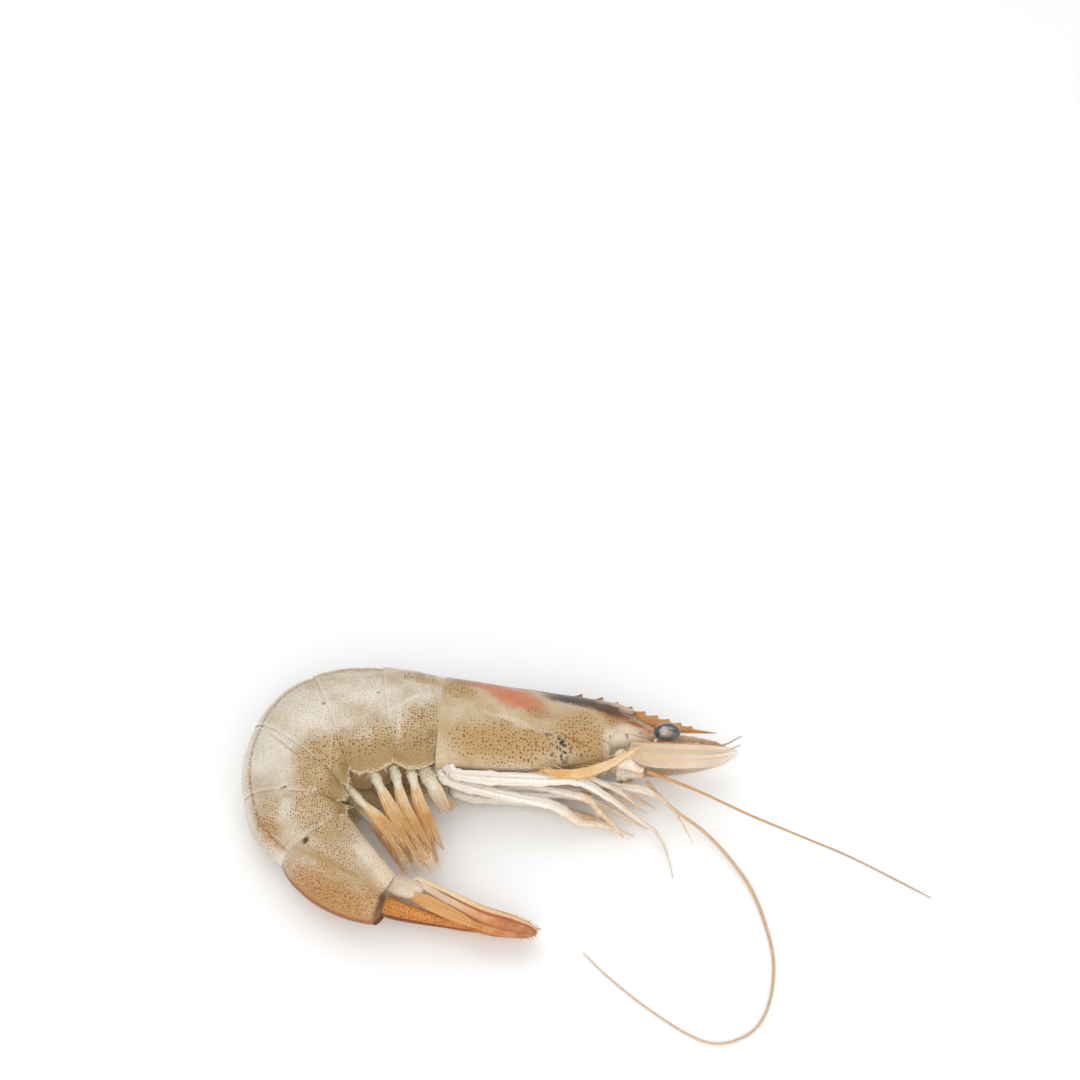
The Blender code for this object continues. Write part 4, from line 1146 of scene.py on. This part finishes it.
rostrumBuild = {
    "upper": ((6.0, 16.0), (14.0, 18.9), (18.0, 18.7), (24.6, 17.6), (30.0, 15.7), (34.2, 14.0),
              (44.3, 10.5), (49.2, 9.5)),
    "lower": ((6.0, 10.0), (27.0, 11.0), (34.0, 10.6), (42.0, 9.4), (49.2, 9.35)),
    "halfThickness": 0.65, "teeth": 9, "teethFrom": 18.5, "teethTo": 43.0,
    "toothHeight": 1.25, "toothLength": 2.6, "toothDrop": 0.18, "from": 6.0, "length": 43.2, "steps": 420,
    "around": 40,
}


def edgeHeight(points, x):
    for (x0, y0), (x1, y1) in zip(points, points[1:]):
        if x <= x1:
            return y0 + (y1 - y0) * (x - x0) / (x1 - x0)
    return points[-1][1]


def rostrumTooth(x):
    look = rostrumBuild
    best = 0.0
    first, final, last = look["teethFrom"], look["teethTo"], look["teeth"] - 1
    for tooth in range(look["teeth"]):
        middle = first + (final - first) * (tooth / last) ** 0.8
        fade = 1 - 0.5 * tooth / last
        length = look["toothLength"] * fade + 0.5
        back, tip = middle - length * 0.45, middle + length * 0.55
        if back <= x <= tip:
            best = max(best, look["toothHeight"] * fade * ((x - back) / (tip - back)) ** 1.5)
        elif tip < x <= tip + look["toothDrop"]:
            best = max(best, look["toothHeight"] * fade * (1 - (x - tip) / look["toothDrop"]))
    return best


def buildRostrum():
    look = rostrumBuild
    rings = []
    for step in range(look["steps"] + 1):
        share = step / look["steps"]
        x = look["from"] + look["length"] * share
        low, high = edgeHeight(look["lower"], x), edgeHeight(look["upper"], x)
        tooth = rostrumTooth(x)
        taper = min(1.0, 0.16 + 3.2 * (1 - share))
        thick = look["halfThickness"] * taper * (1 + 0.5 * bell(share, 0.2, 0.25))

        def pointAt(turn, x=x, low=low, high=high, tooth=tooth, thick=thick):
            rise = 0.5 + 0.5 * math.cos(2 * math.pi * turn)  # 1 at the toothed edge, 0 at the lower one
            side = math.sin(2 * math.pi * turn)
            ridge = 0.45 + 0.75 * bell(rise, 0.34, 0.22) - 0.3 * max(0, rise - 0.7)
            height = low + (high - low) * rise + tooth * max(0.0, rise - 0.62) / 0.38
            return Vector((x, height, headPlane + thick * ridge * side))

        rings.append((share, pointAt))
    bm = bentSkin(rings, look["around"])
    return finishPiece("rostrumBlade", bm, finishes["rostrum"], sharpen=50)


buildHeadShield()
buildFace()
buildRostrum()
print("head shield and rostrum built")

# limbs


def limbFrame(rows, place, across):
    row = smoothRow(rows, place)
    last = len(rows) - 1
    ahead, behind = smoothRow(rows, min(place + 0.15, last)), smoothRow(rows, max(place - 0.15, 0))
    along = (Vector(ahead[:3]) - Vector(behind[:3])).normalized()
    wide = Vector(across)
    wide = (wide - along * wide.dot(along)).normalized()
    return Vector(row[:3]), along, wide, along.cross(wide), row[3], row[4]


def buildLimb(name, rows, across, finish, replaced, look):
    last = len(rows) - 1
    count = last * look["steps"]
    lengths = [0.0]
    for step in range(count):
        one, other = (Vector(smoothRow(rows, (step + k) / look["steps"])[:3]) for k in (0, 1))
        lengths.append(lengths[-1] + (other - one).length)
    rings = []
    for step in range(count + 1):
        place = step / look["steps"]
        centre, along, wide, thick, halfWidth, halfThick = limbFrame(rows, place, across)
        swell = 1.0
        for knee in range(1, last):
            swell += look["knees"] * (bell(place, knee, 0.1) - 0.6 * bell(place, knee + 0.22, 0.1))
        share = lengths[step] / lengths[-1]

        def pointAt(turn, centre=centre, wide=wide, thick=thick, a=halfWidth * swell, b=halfThick * swell,
                    share=share):
            angle = 2 * math.pi * turn
            c, s = math.cos(angle), math.sin(angle)
            power = look["square"]
            flat = (abs(c) ** power + abs(s) ** power) ** (-1 / power)
            lift = look["relief"](share, turn) if look["relief"] else 0.0
            return centre + wide * a * c * flat + thick * (b * s * flat * (1 + lift))

        rings.append((share, pointAt))
    bm = bentSkin([rings[0], *rings, rings[-1]], look["around"])
    return finishPiece(name, bm, finish, replaced, onTable=look["onTable"])


def limbLook(steps=10, around=20, knees=0.0, square=2.0, relief=None, onTable=False):
    return dict(steps=steps, around=around, knees=knees, square=square, relief=relief, onTable=onTable)


def mirroredRows(rows, plane=headPlane, sink=0.0, tuck=0.0):
    root, tip = rows[0][0], rows[-1][0]
    made = []
    for x, y, z, width, thickness in rows:
        share = (x - root) / (tip - root)
        made.append((x, y + tuck * share, 2 * (plane - sink * (x - root)) - z, width, thickness))
    return made


sides = {"right": "facingRight", "left": "facingLeft"}
directions = {
    "facingRight": (0.0, 0.85, 0.5), "facingLeft": (0.0, 0.85, -0.5), "upward": (0.0, 1.0, 0.0),
    "acrossTail": (0.0, 0.0, 1.0), "stem": (0.63, 0.77, 0.0), "sideways": (0.9, 0.1, 0.3),
}

# each limb's rows from root to tip: x, y, height, half width and half thickness, in plan mm
headLimbs = {
    "eye": [(33.2, 7.1, 9.4, 0.8, 0.8), (34.7, 7.1, 10.3, 0.75, 0.75), (35.9, 7.0, 11.3, 0.8, 0.8),
            (36.5, 6.9, 12.2, 1.5, 1.6), (37.3, 6.8, 12.8, 1.85, 2.0), (38.4, 6.7, 13.0, 1.95, 2.15),
            (39.6, 6.7, 13.0, 1.7, 1.9), (40.5, 6.7, 13.0, 1.1, 1.2), (41.0, 6.7, 13.0, 0.4, 0.45)],
    "scale": [(30.0, 3.2, 12.6, 1.5, 0.35), (34.0, 1.8, 12.1, 2.6, 0.35), (42.0, 1.6, 11.7, 2.7, 0.3),
              (49.0, 2.1, 11.2, 2.1, 0.25), (53.2, 3.2, 10.9, 0.4, 0.2)],
    "smallFeeler": [(36.2, 7.6, 9.3, 0.8, 0.7), (40.0, 7.4, 9.3, 0.8, 0.7), (44.0, 7.0, 9.4, 0.65, 0.55),
                    (48.6, 5.9, 9.5, 0.5, 0.4), (50.5, 5.6, 9.5, 0.25, 0.25),
                    (54.5, 7.6, 10.0, 0.1, 0.1)],
    "feelerBase": [(26.9, 1.6, 10.8, 1.2, 1.2), (27.9, 1.5, 10.7, 2.1, 2.1), (29.3, 1.0, 10.3, 1.75, 1.7),
                   (31.1, 0.1, 9.5, 1.05, 1.0), (33.0, -0.6, 9.2, 0.8, 0.75)],
    "rightFeeler": [(33.9, -0.8, 9.2, 0.5, 0.45), (37.0, -2.0, 8.9, 0.36, 0.36),
                    (44.9, -5.2, 8.2, 0.3, 0.3), (55.3, -9.9, 6.6, 0.28, 0.28),
                    (65.8, -13.9, 4.8, 0.26, 0.26), (76.2, -17.9, 3.0, 0.24, 0.24),
                    (86.4, -22.8, 1.2, 0.21, 0.21), (92.7, -26.2, 0.5, 0.12, 0.12)],
    "leftFeeler": [(33.8, -1.5, 6.2, 0.5, 0.45), (35.6, -3.2, 4.9, 0.42, 0.42),
                   (39.7, -6.9, 3.4, 0.38, 0.38), (45.6, -11.4, 2.4, 0.38, 0.38),
                   (50.5, -16.9, 1.6, 0.37, 0.37), (54.9, -23.8, 0.9, 0.36, 0.36),
                   (57.5, -31.7, 0.5, 0.34, 0.34), (58.7, -40.2, 0.4, 0.31, 0.31),
                   (57.4, -48.9, 0.4, 0.28, 0.28), (53.9, -55.1, 0.4, 0.26, 0.26),
                   (47.8, -58.0, 0.4, 0.24, 0.24), (41.8, -56.9, 0.4, 0.22, 0.22),
                   (33.0, -51.0, 0.4, 0.2, 0.2), (24.9, -44.0, 0.4, 0.17, 0.17),
                   (19.8, -38.5, 0.4, 0.12, 0.12)],
    "rightMouthLeg": [(10.8, -2.9, 13.3, 0.12, 0.12), (12.8, -3.3, 13.5, 0.5, 0.4),
                      (16.4, -3.9, 13.5, 0.95, 0.5), (20.2, -3.5, 13.3, 1.1, 0.55),
                      (24.9, -1.8, 13.4, 0.95, 0.5), (28.9, 0.4, 13.7, 0.7, 0.45),
                      (32.2, 2.4, 14.0, 0.12, 0.12)],
    "leftMouthLeg": [(17.5, -2.2, 2.4, 0.7, 0.45), (20.2, -2.0, 2.2, 1.0, 0.5),
                     (24.9, -1.0, 2.1, 1.0, 0.5), (28.9, 0.4, 2.1, 0.9, 0.5),
                     (31.2, 1.8, 2.0, 0.5, 0.35)],
}


scaleRows = {"right": headLimbs["scale"], "left": mirroredRows(headLimbs["scale"], tuck=2.4)}


def bladeRidges(share, turn):
    # fine ridges and a groove down the middle of a blade
    angle = turn * 2 * math.pi
    fine = 0.14 * math.cos(angle * 7 + 2 * share) + 0.1 * math.cos(angle * 17 + 5 * share)
    return fine * (1 - share * 0.4) - 0.25 * bell(abs(turn - 0.5), 0.25, 0.03)


for side, facing in sides.items():
    word = side.capitalize()
    rowsOf = {key: rows if side == "right" else mirroredRows(rows) for key, rows in headLimbs.items()}
    buildLimb(f"eye{word}", rowsOf["eye"], directions["upward"], finishes["eye"], [f"eye_{side}"],
              limbLook(12, 40))
    buildLimb(f"feelerScale{word}", scaleRows[side], directions[facing], finishes["scale"],
              [f"antennal_scale_{side}"], limbLook(16, 44, relief=bladeRidges))
    buildLimb(f"smallFeeler{word}", rowsOf["smallFeeler"], directions[facing], finishes["smallFeeler"],
              [f"antennule_{side}"], limbLook(14, 18, knees=0.16))
    buildLimb(f"feelerBase{word}", rowsOf["feelerBase"], directions["upward"], finishes["feelerBase"],
              [f"antenna_base_{side}"], limbLook(14, 32, knees=0.1))
    feeler = headLimbs[side + "Feeler"]
    buildLimb(f"longFeeler{word}", feeler, directions["upward"], finishes[side + "Feeler"],
              [f"antenna_whip_{side}"], limbLook(24, 12, onTable=True))
    buildLimb(f"mouthLeg{word}", headLimbs[side + "MouthLeg"], directions[facing], finishes["mouthLeg"],
              [f"maxilliped_{side}"], limbLook(14, 30, knees=0.08, relief=bladeRidges))
print("eyes, feelers and mouth legs built")

walkingLegs = {
    "right_1": [(18.0, -1.5, 7.6, 0.5, 0.5), (21.0, -2.0, 7.5, 0.6, 0.6), (26.6, -3.1, 7.0, 0.85, 0.6),
                (33.5, -4.3, 7.0, 0.8, 0.45), (39.2, -8.4, 6.0, 0.3, 0.3), (43.3, -15.0, 3.5, 0.1, 0.1)],
    "right_2": [(17.0, -2.2, 8.9, 0.55, 0.55), (21.3, -3.0, 10.0, 0.65, 0.65),
                (27.7, -5.3, 8.5, 0.5, 0.5), (32.4, -7.7, 4.7, 0.12, 0.12)],
    "right_3": [(2.4, -3.3, 8.6, 0.7, 0.7), (10.9, -4.6, 9.0, 0.8, 0.8), (16.4, -5.9, 9.0, 0.85, 0.8),
                (21.1, -6.9, 8.0, 0.85, 0.75), (23.4, -8.9, 6.5, 0.6, 0.55), (27.1, -11.6, 4.0, 0.4, 0.4),
                (28.6, -13.5, 3.0, 0.12, 0.12)],
    "right_4": [(-6.5, -3.4, 12.3, 1.0, 0.8), (0.3, -4.2, 12.2, 1.3, 0.9), (10.9, -4.4, 11.8, 1.25, 0.8),
                (18.5, -4.0, 11.0, 1.15, 0.85), (24.9, -6.4, 8.5, 0.75, 0.65),
                (31.9, -9.9, 4.5, 0.5, 0.5), (35.6, -11.9, 2.5, 0.35, 0.35), (37.8, -16.0, 1.2, 0.2, 0.2),
                (38.9, -21.6, 0.6, 0.1, 0.1)],
    "right_5": [(-9.2, -3.4, 10.2, 0.9, 0.9), (-4.0, -4.8, 9.6, 1.2, 1.1), (5.4, -6.9, 9.0, 1.1, 1.0),
                (12.2, -8.1, 8.5, 1.1, 1.0), (15.8, -9.1, 7.0, 1.15, 1.05), (19.2, -10.2, 4.5, 0.9, 0.85),
                (25.0, -10.0, 2.5, 0.7, 0.65), (27.8, -10.9, 1.5, 0.4, 0.4),
                (31.0, -11.7, 0.8, 0.12, 0.12)],
    "left_1": [(20.0, -1.2, 5.4, 0.45, 0.45), (26.0, -1.8, 4.4, 0.5, 0.5), (31.0, -3.4, 3.2, 0.4, 0.4),
               (36.0, -5.8, 1.6, 0.12, 0.12)],
    "left_2": [(15.5, -2.0, 5.3, 0.5, 0.5), (22.0, -2.5, 4.1, 0.55, 0.55), (28.0, -4.0, 3.2, 0.45, 0.45),
               (34.0, -6.8, 1.6, 0.12, 0.12)],
    "left_3": [(3.0, -3.0, 6.6, 0.6, 0.6), (10.0, -3.1, 6.7, 0.65, 0.65), (17.0, -3.3, 6.4, 0.65, 0.65),
               (22.0, -5.2, 5.2, 0.5, 0.5), (27.0, -7.2, 3.4, 0.3, 0.3), (30.0, -8.6, 2.7, 0.12, 0.12)],
    "left_4": [(-4.0, -3.6, 6.6, 0.7, 0.7), (2.0, -3.5, 4.9, 0.85, 0.85), (11.0, -3.4, 4.5, 0.8, 0.8),
               (18.0, -3.8, 4.0, 0.8, 0.8), (24.0, -5.5, 2.8, 0.6, 0.6), (30.0, -8.0, 1.4, 0.35, 0.35),
               (34.0, -10.2, 0.6, 0.12, 0.12)],
    "left_5": [(-7.2, -3.8, 5.4, 0.8, 0.8), (-3.0, -4.0, 3.6, 1.0, 1.0), (6.0, -3.9, 2.2, 1.0, 1.0),
               (13.0, -4.8, 2.0, 0.95, 0.95), (17.0, -6.2, 1.6, 0.8, 0.8), (22.0, -7.4, 1.2, 0.55, 0.55),
               (26.0, -8.4, 0.6, 0.15, 0.15)],
}
# how far each leg's root goes back and up under the shell, and how much broader it is
legRoots = {"1": (2.5, 2.2, 1.0), "2": (2.5, 2.4, 1.0), "3": (3.0, 3.0, 1.0), "4": (3.4, 3.2, 1.25),
            "5": (2.6, 3.4, 1.25)}


def rooted(rows, back, rise, spread=1.0, sink=0.6):
    # the limb's first stretch, which runs up under the shell, and a broader flat root
    x, y, z, wide, thick = rows[0]
    made = [(x - back, y + rise, z - sink, wide * spread * 0.8, thick),
            (x - back * 0.45, y + rise * 0.42, z - sink * 0.3, wide * spread * 1.1, thick)]
    for k, (x, y, z, wide, thick) in enumerate(rows):
        grow = 1 + (spread - 1) * max(0.0, 1 - k / 3)
        made.append((x, y, z, wide * grow, thick))
    return made


walkingLegs = {key: rooted(rows, *legRoots[key.split("_")[1]]) for key, rows in walkingLegs.items()}
for key, rows in walkingLegs.items():
    side, number = key.split("_")
    # the paler leg finish, partly painted light, goes on three of the legs
    finish = finishes["paleLeg" if key in ("right_4", "right_5", "left_4") else "leg"]
    buildLimb(f"walkingLeg{side.capitalize()}{number}", rows, directions["facingRight"], finish,
              [f"leg_{key}"], limbLook(14, 22, knees=0.14, onTable=True))

swimmers = {
    "right_1": [(-12.6, -3.4, 10.4, 1.6, 0.9), (-11.1, -6.2, 10.1, 1.7, 0.7),
                (-8.9, -10.2, 9.3, 1.3, 0.4)],
    "right_2": [(-16.2, -2.9, 10.9, 1.1, 0.8), (-14.6, -9.0, 10.5, 1.42, 0.5),
                (-12.9, -15.1, 9.5, 1.0, 0.4), (-11.9, -20.4, 8.5, 0.3, 0.2)],
    "right_3": [(-19.6, -3.2, 11.0, 1.1, 0.8), (-17.8, -10.0, 10.8, 1.42, 0.5),
                (-15.4, -16.5, 10.0, 0.95, 0.4), (-13.1, -21.1, 9.0, 0.3, 0.2)],
    "right_4": [(-23.6, -4.2, 11.2, 1.1, 0.8), (-20.9, -9.7, 10.9, 1.42, 0.5),
                (-17.8, -16.0, 10.0, 0.9, 0.4), (-15.0, -20.4, 9.0, 0.3, 0.2)],
    "right_5": [(-27.4, -8.2, 10.6, 0.9, 0.7), (-24.2, -11.6, 10.2, 1.1, 0.5),
                (-20.6, -16.3, 9.0, 0.9, 0.4), (-17.9, -20.3, 7.4, 0.3, 0.2)],
    "left_1": [(-11.6, -3.0, 5.4, 1.3, 0.9), (-9.6, -5.0, 5.2, 1.4, 0.7), (-7.3, -7.2, 4.8, 1.0, 0.4)],
    "left_2": [(-15.6, -2.9, 5.4, 1.0, 0.8), (-14.2, -9.0, 5.0, 1.2, 0.5), (-12.4, -14.6, 4.2, 1.1, 0.4),
               (-11.0, -18.4, 3.4, 0.4, 0.2)],
    "left_3": [(-19.2, -3.2, 5.2, 1.0, 0.8), (-17.6, -9.4, 4.8, 1.2, 0.5), (-15.6, -15.4, 4.0, 1.0, 0.4),
               (-13.8, -19.2, 3.2, 0.4, 0.2)],
    "left_4": [(-23.0, -4.2, 5.0, 1.0, 0.8), (-20.7, -9.4, 4.6, 1.2, 0.5), (-18.2, -15.2, 3.8, 1.0, 0.4),
               (-16.2, -18.8, 3.2, 0.4, 0.2)],
    "left_5": [(-27.0, -8.4, 5.0, 0.9, 0.7), (-23.8, -11.8, 4.8, 1.0, 0.5), (-20.4, -16.6, 4.2, 0.9, 0.4),
               (-17.6, -21.4, 3.4, 0.3, 0.2)],
}


# where the base segment of a swimming leg starts and ends, in mm from the blade's root
swimmerBaseBuild = {"inside": 4.2, "low": 2.6, "knee": 2.2, "end": 1.4}


def shifted(rows, start, end, shift, widths):
    # part of a limb's rows, moved sideways and made narrower
    made = []
    for step in range(5):
        part = step / 4
        x, y, z, _, thick = smoothRow(rows, (len(rows) - 1) * (start + (end - start) * part))
        made.append((x + shift[0] * part, y + shift[1] * part, z + shift[2] * part, widths[step],
                     thick * 0.8))
    return made


for key, rows in swimmers.items():
    side, number = key.split("_")
    word = f"{side.capitalize()}{number}"
    x, y, z, wide, thick = rows[0]
    finish = finishes["stub" if number == "1" else "swimmer"]
    lean = (Vector(rows[1][:3]) - Vector(rows[0][:3])).normalized()
    inside = Vector((x, y, z)) - lean * swimmerBaseBuild["inside"]
    low = Vector((x, y, z)) + lean * swimmerBaseBuild["low"]
    knee, end = inside + lean * swimmerBaseBuild["knee"], low + lean * swimmerBaseBuild["end"]
    base = [(*inside, wide * 0.8, 0.9), (*knee, wide, 1.05), (x, y, z, wide * 1.05, 1.1),
            (*low, wide * 0.7, 0.8), (*end, 0.3, 0.3)]
    buildLimb(f"swimmerBase{word}", base, directions["sideways"], finishes["swimmerBase"],
              [], limbLook(10, 28, knees=0.1))
    blade = [(x, y, z, wide * 0.6, thick * 0.7), *rows[1:]]
    if number != "1":
        tip = rows[-1]
        bend = Vector(tip[:3]) - Vector(rows[-2][:3])
        beyond = (tip[0] + bend.x * 0.16 + 0.35, tip[1] + bend.y * 0.12, tip[2] + bend.z * 0.1)
        blade.append((*beyond, 0.12, 0.1))
        inner = shifted(rows, 0.12, 0.9, (2.0, 0.6, 0.9), (0.5, 0.8, 0.95, 0.7, 0.15))
        buildLimb(f"swimmerInner{word}", inner, directions["sideways"], finish, [],
                  limbLook(12, 30, relief=bladeRidges))
    buildLimb(f"swimmer{word}", blade, directions["sideways"], finish, [f"swimmeret_{key}"],
              limbLook(20, 44, relief=bladeRidges))
print("legs and swimmers built")

# tail fan

fan = {
    "plane": 6.2, "sink": 0.05, "tuck": {"stem": 0.0, "outer": 1.6, "inner": 2.6},
    "spike": [(-20.3, -31.1, 6.6, 2.8, 1.9), (-18.0, -32.2, 6.8, 3.0, 1.6), (-14.0, -33.3, 6.7, 2.6, 1.3),
              (-9.5, -34.3, 6.4, 1.9, 1.0), (-5.0, -35.2, 6.1, 1.1, 0.7), (-1.8, -35.8, 5.7, 0.25, 0.25)],
    "stem": [(-21.4, -26.2, 8.4, 1.6, 1.3), (-18.8, -27.6, 9.0, 2.1, 1.45),
             (-17.0, -28.3, 9.4, 2.25, 1.5), (-14.9, -29.0, 9.5, 2.0, 1.2),
             (-13.2, -29.8, 9.5, 1.0, 0.7)],
    "outer": [(-15.0, -27.2, 9.2, 1.0, 0.4), (-13.4, -27.7, 9.4, 1.4, 0.45),
              (-7.5, -31.3, 9.3, 2.0, 0.45), (-1.3, -34.5, 8.6, 2.4, 0.4), (3.9, -35.9, 7.8, 2.4, 0.35),
              (8.2, -36.6, 6.8, 1.7, 0.3), (10.2, -37.0, 6.1, 0.5, 0.2)],
    "inner": [(-15.0, -30.4, 9.8, 1.0, 0.35), (-11.5, -32.3, 10.2, 1.4, 0.4),
              (-6.3, -34.9, 9.9, 1.2, 0.35), (-0.8, -37.3, 9.0, 0.35, 0.2)],
}


def fanRows(part, side):
    # the rows of a part of the fan; the left ones mirror the right ones and lie a little closer
    if side == "right":
        return fan[part]
    return mirroredRows(fan[part], fan["plane"], fan["sink"], fan["tuck"][part])


def fanRidges(share, turn):
    # two long ridges and a dished middle
    upper = bell(turn, 0.14, 0.03) + bell(turn, 0.86, 0.03)
    upper = upper + 0.8 * bell(turn, 0.3, 0.03) + 0.8 * bell(turn, 0.7, 0.03)
    return 0.9 * upper - 0.35 * bell(abs(turn - 0.5), 0.25, 0.1)


def spikeRidges(share, turn):
    return 0.25 * bell(turn, 0.2, 0.03) + 0.25 * bell(turn, 0.3, 0.03) - 0.3 * bell(turn, 0.25, 0.03)


buildLimb("tailSpike", fan["spike"], directions["acrossTail"], finishes["tailSpike"],
          ["telson"], limbLook(16, 48, relief=spikeRidges))
for side, facing in sides.items():
    word = side.capitalize()
    stem, outer, inner = (fanRows(part, side) for part in ("stem", "outer", "inner"))
    buildLimb(f"fanStem{word}", stem, directions["stem"], finishes["stem"],
              [f"tail_stem_{side}"], limbLook(14, 36, square=2.4))
    buildLimb(f"fanOuter{word}", outer, directions[facing], finishes["outerFan"],
              [f"tail_blade_outer_{side}"], limbLook(14, 60, relief=fanRidges))
    buildLimb(f"fanInner{word}", inner, directions[facing], finishes["innerFan"],
              [f"tail_blade_inner_{side}"], limbLook(16, 56, relief=fanRidges))
print("tail fan built")

# bristles along the limbs


def fringe(name, rows, across, finish, look):
    # hairs along both edges of a blade and round its tip
    draw = random.Random(look["seed"])
    bm = bmesh.new()
    last = len(rows) - 1
    for number in range(look["count"]):
        share = look["from"] + (1 - look["from"]) * (number + draw.random()) / look["count"]
        edge = draw.choice(look["edges"])
        centre, along, wide, thick, halfWidth, halfThick = limbFrame(rows, share * last, across)
        root = centre + wide * halfWidth * 0.9 * edge
        length = look["length"] * (0.6 + 0.6 * draw.random())
        lift = thick * (draw.random() - 0.5) * look["spread"]
        lean = along * look["forward"] + wide * edge * look["out"] + lift
        lean = lean.normalized() * length
        curl = Vector([draw.random() - 0.5 for k in range(3)]) * length * look["curl"]
        points = [root, root + lean * 0.4 + curl * 0.3, root + lean * 0.75 + curl * 0.3,
                  root + lean + curl * 0.1 - Vector((0, 0, look["droop"] * length))]
        for point in points:
            point.z = max(point.z, 0.15)
        addBristle(bm, points, look["width"])
    bmesh.ops.recalc_face_normals(bm, faces=bm.faces)
    return finishPiece(name, bm, finish)


swimmerHair = {"seed": 3, "count": 40, "from": 0.4, "edges": (-1, -0.4, 0.4, 1), "length": 3.6,
               "forward": 1.0, "out": 0.1, "spread": 0.2, "curl": 0.5, "droop": 0.04, "width": 0.05}
mouthHair = {"seed": 13, "count": 54, "from": 0.06, "edges": (-1, -0.6, 0.4, 1), "length": 3.4,
             "forward": -1.0, "out": 0.35, "spread": 0.5, "curl": 0.12, "droop": 0.05, "width": 0.09}
fanHair = {"seed": 5, "count": 46, "from": 0.55, "edges": (-1, 1), "length": 1.2, "forward": 1.0,
           "out": 0.5, "spread": 0.3, "curl": 0.15, "droop": 0.1, "width": 0.05}
scaleHair = {"seed": 7, "count": 60, "from": 0.2, "edges": (-1,), "length": 1.5, "forward": 1.0,
             "out": 0.6, "spread": 0.3, "curl": 0.15, "droop": 0.2, "width": 0.04}
legHair = {"seed": 9, "count": 22, "from": 0.3, "edges": (-1, 1), "length": 2.2, "forward": 1.0,
           "out": 0.6, "spread": 0.6, "curl": 0.2, "droop": 0.3, "width": 0.035}

for key, rows in swimmers.items():
    side, number = key.split("_")
    if number != "1":
        look = dict(swimmerHair, seed=int(number) + (20 if side == "left" else 0))
        fringe(f"swimmerHair{side.capitalize()}{number}", rows, directions["sideways"],
               finishes["amberBristle"], look)
for side, facing in sides.items():
    word = side.capitalize()
    fringe(f"fanHair{word}", fanRows("outer", side), directions[facing], finishes["rustBristle"],
           fanHair)
    fringe(f"mouthHair{word}", headLimbs[side + "MouthLeg"], directions[facing], finishes["amberBristle"],
           mouthHair)
    fringe(f"scaleHair{word}", scaleRows[side], directions[facing], finishes["paleBristle"],
           scaleHair)
for number, key in enumerate(("right_1", "right_3", "right_4", "right_5", "left_3", "left_4")):
    side, leg = key.split("_")
    fringe(f"legHair{side.capitalize()}{leg}", walkingLegs[key], directions["facingRight"],
           finishes["paleBristle"], dict(legHair, seed=40 + number))
print("bristles built")

# table, light and camera

stageLook = {
    "tableSize": 3.0, "tableShade": 0.985, "tableRoughness": 0.7, "tableTone": (248, 249, 249),
    "sky": 0.78, "skyTone": (1.0, 1.0, 1.0, 1),
    "key": {"at": (-0.12, 0.34, 0.5), "aim": (0.0, 0.0, 0.0), "size": 0.6, "power": 0.8},
    "fill": {"at": (0.1, -0.5, 0.36), "aim": (0.0, 0.0, 0.0), "size": 0.8, "power": 2.5},
    "camera": {"at": (-9.004 * mm, -197.447 * mm, 370.2 * mm), "tilt": 37.3, "lens": 65.0, "sensor": 36},
}


def buildTable():
    bm = bmesh.new()
    bmesh.ops.create_grid(bm, x_segments=2, y_segments=2, size=stageLook["tableSize"] / 2)
    mesh = bpy.data.meshes.new("paleTable")
    bm.to_mesh(mesh)
    bm.free()
    table = bpy.data.objects.new("paleTable", mesh)
    bpy.context.scene.collection.objects.link(table)
    made, tree, shader, place = startFinish("paleTableTop")[:4]
    noise = noiseAt(tree, place, 0.02, 2.0)["Fac"]
    pale = tone(stageLook["tableTone"])
    colour = blendColour(tree, noise, pale, (*(v * stageLook["tableShade"] for v in pale[:3]), 1))
    join(tree, colour, shader.inputs["Base Color"])
    shader.inputs["Roughness"].default_value = stageLook["tableRoughness"]
    mesh.materials.append(made)


def addLight(name, look):
    light = bpy.data.lights.new(name, "AREA")
    light.energy = look["power"]
    light.size = look["size"]
    lamp = bpy.data.objects.new(name, light)
    lamp.location = look["at"]
    lamp.rotation_euler = (Vector(look["aim"]) - Vector(look["at"])).to_track_quat("-Z", "Y").to_euler()
    bpy.context.scene.collection.objects.link(lamp)


buildTable()
addLight("keyLight", stageLook["key"])
addLight("fillLight", stageLook["fill"])

world = bpy.data.worlds.new("paleRoom")
bpy.context.scene.world = world
world.use_nodes = True
world.node_tree.nodes["Background"].inputs["Color"].default_value = stageLook["skyTone"]
world.node_tree.nodes["Background"].inputs["Strength"].default_value = stageLook["sky"]

camera = bpy.data.objects.new("camera", bpy.data.cameras.new("camera"))
bpy.context.scene.collection.objects.link(camera)
camera.location = stageLook["camera"]["at"]
camera.rotation_euler = (math.radians(stageLook["camera"]["tilt"]), 0, 0)
camera.data.lens = stageLook["camera"]["lens"]
camera.data.sensor_width = stageLook["camera"]["sensor"]
camera.data.clip_start = 0.01
camera.data.clip_end = 20
bpy.context.scene.camera = camera
bpy.context.scene.view_settings.view_transform = "Standard"
bpy.context.scene.view_settings.look = "None"
print("stage ready")
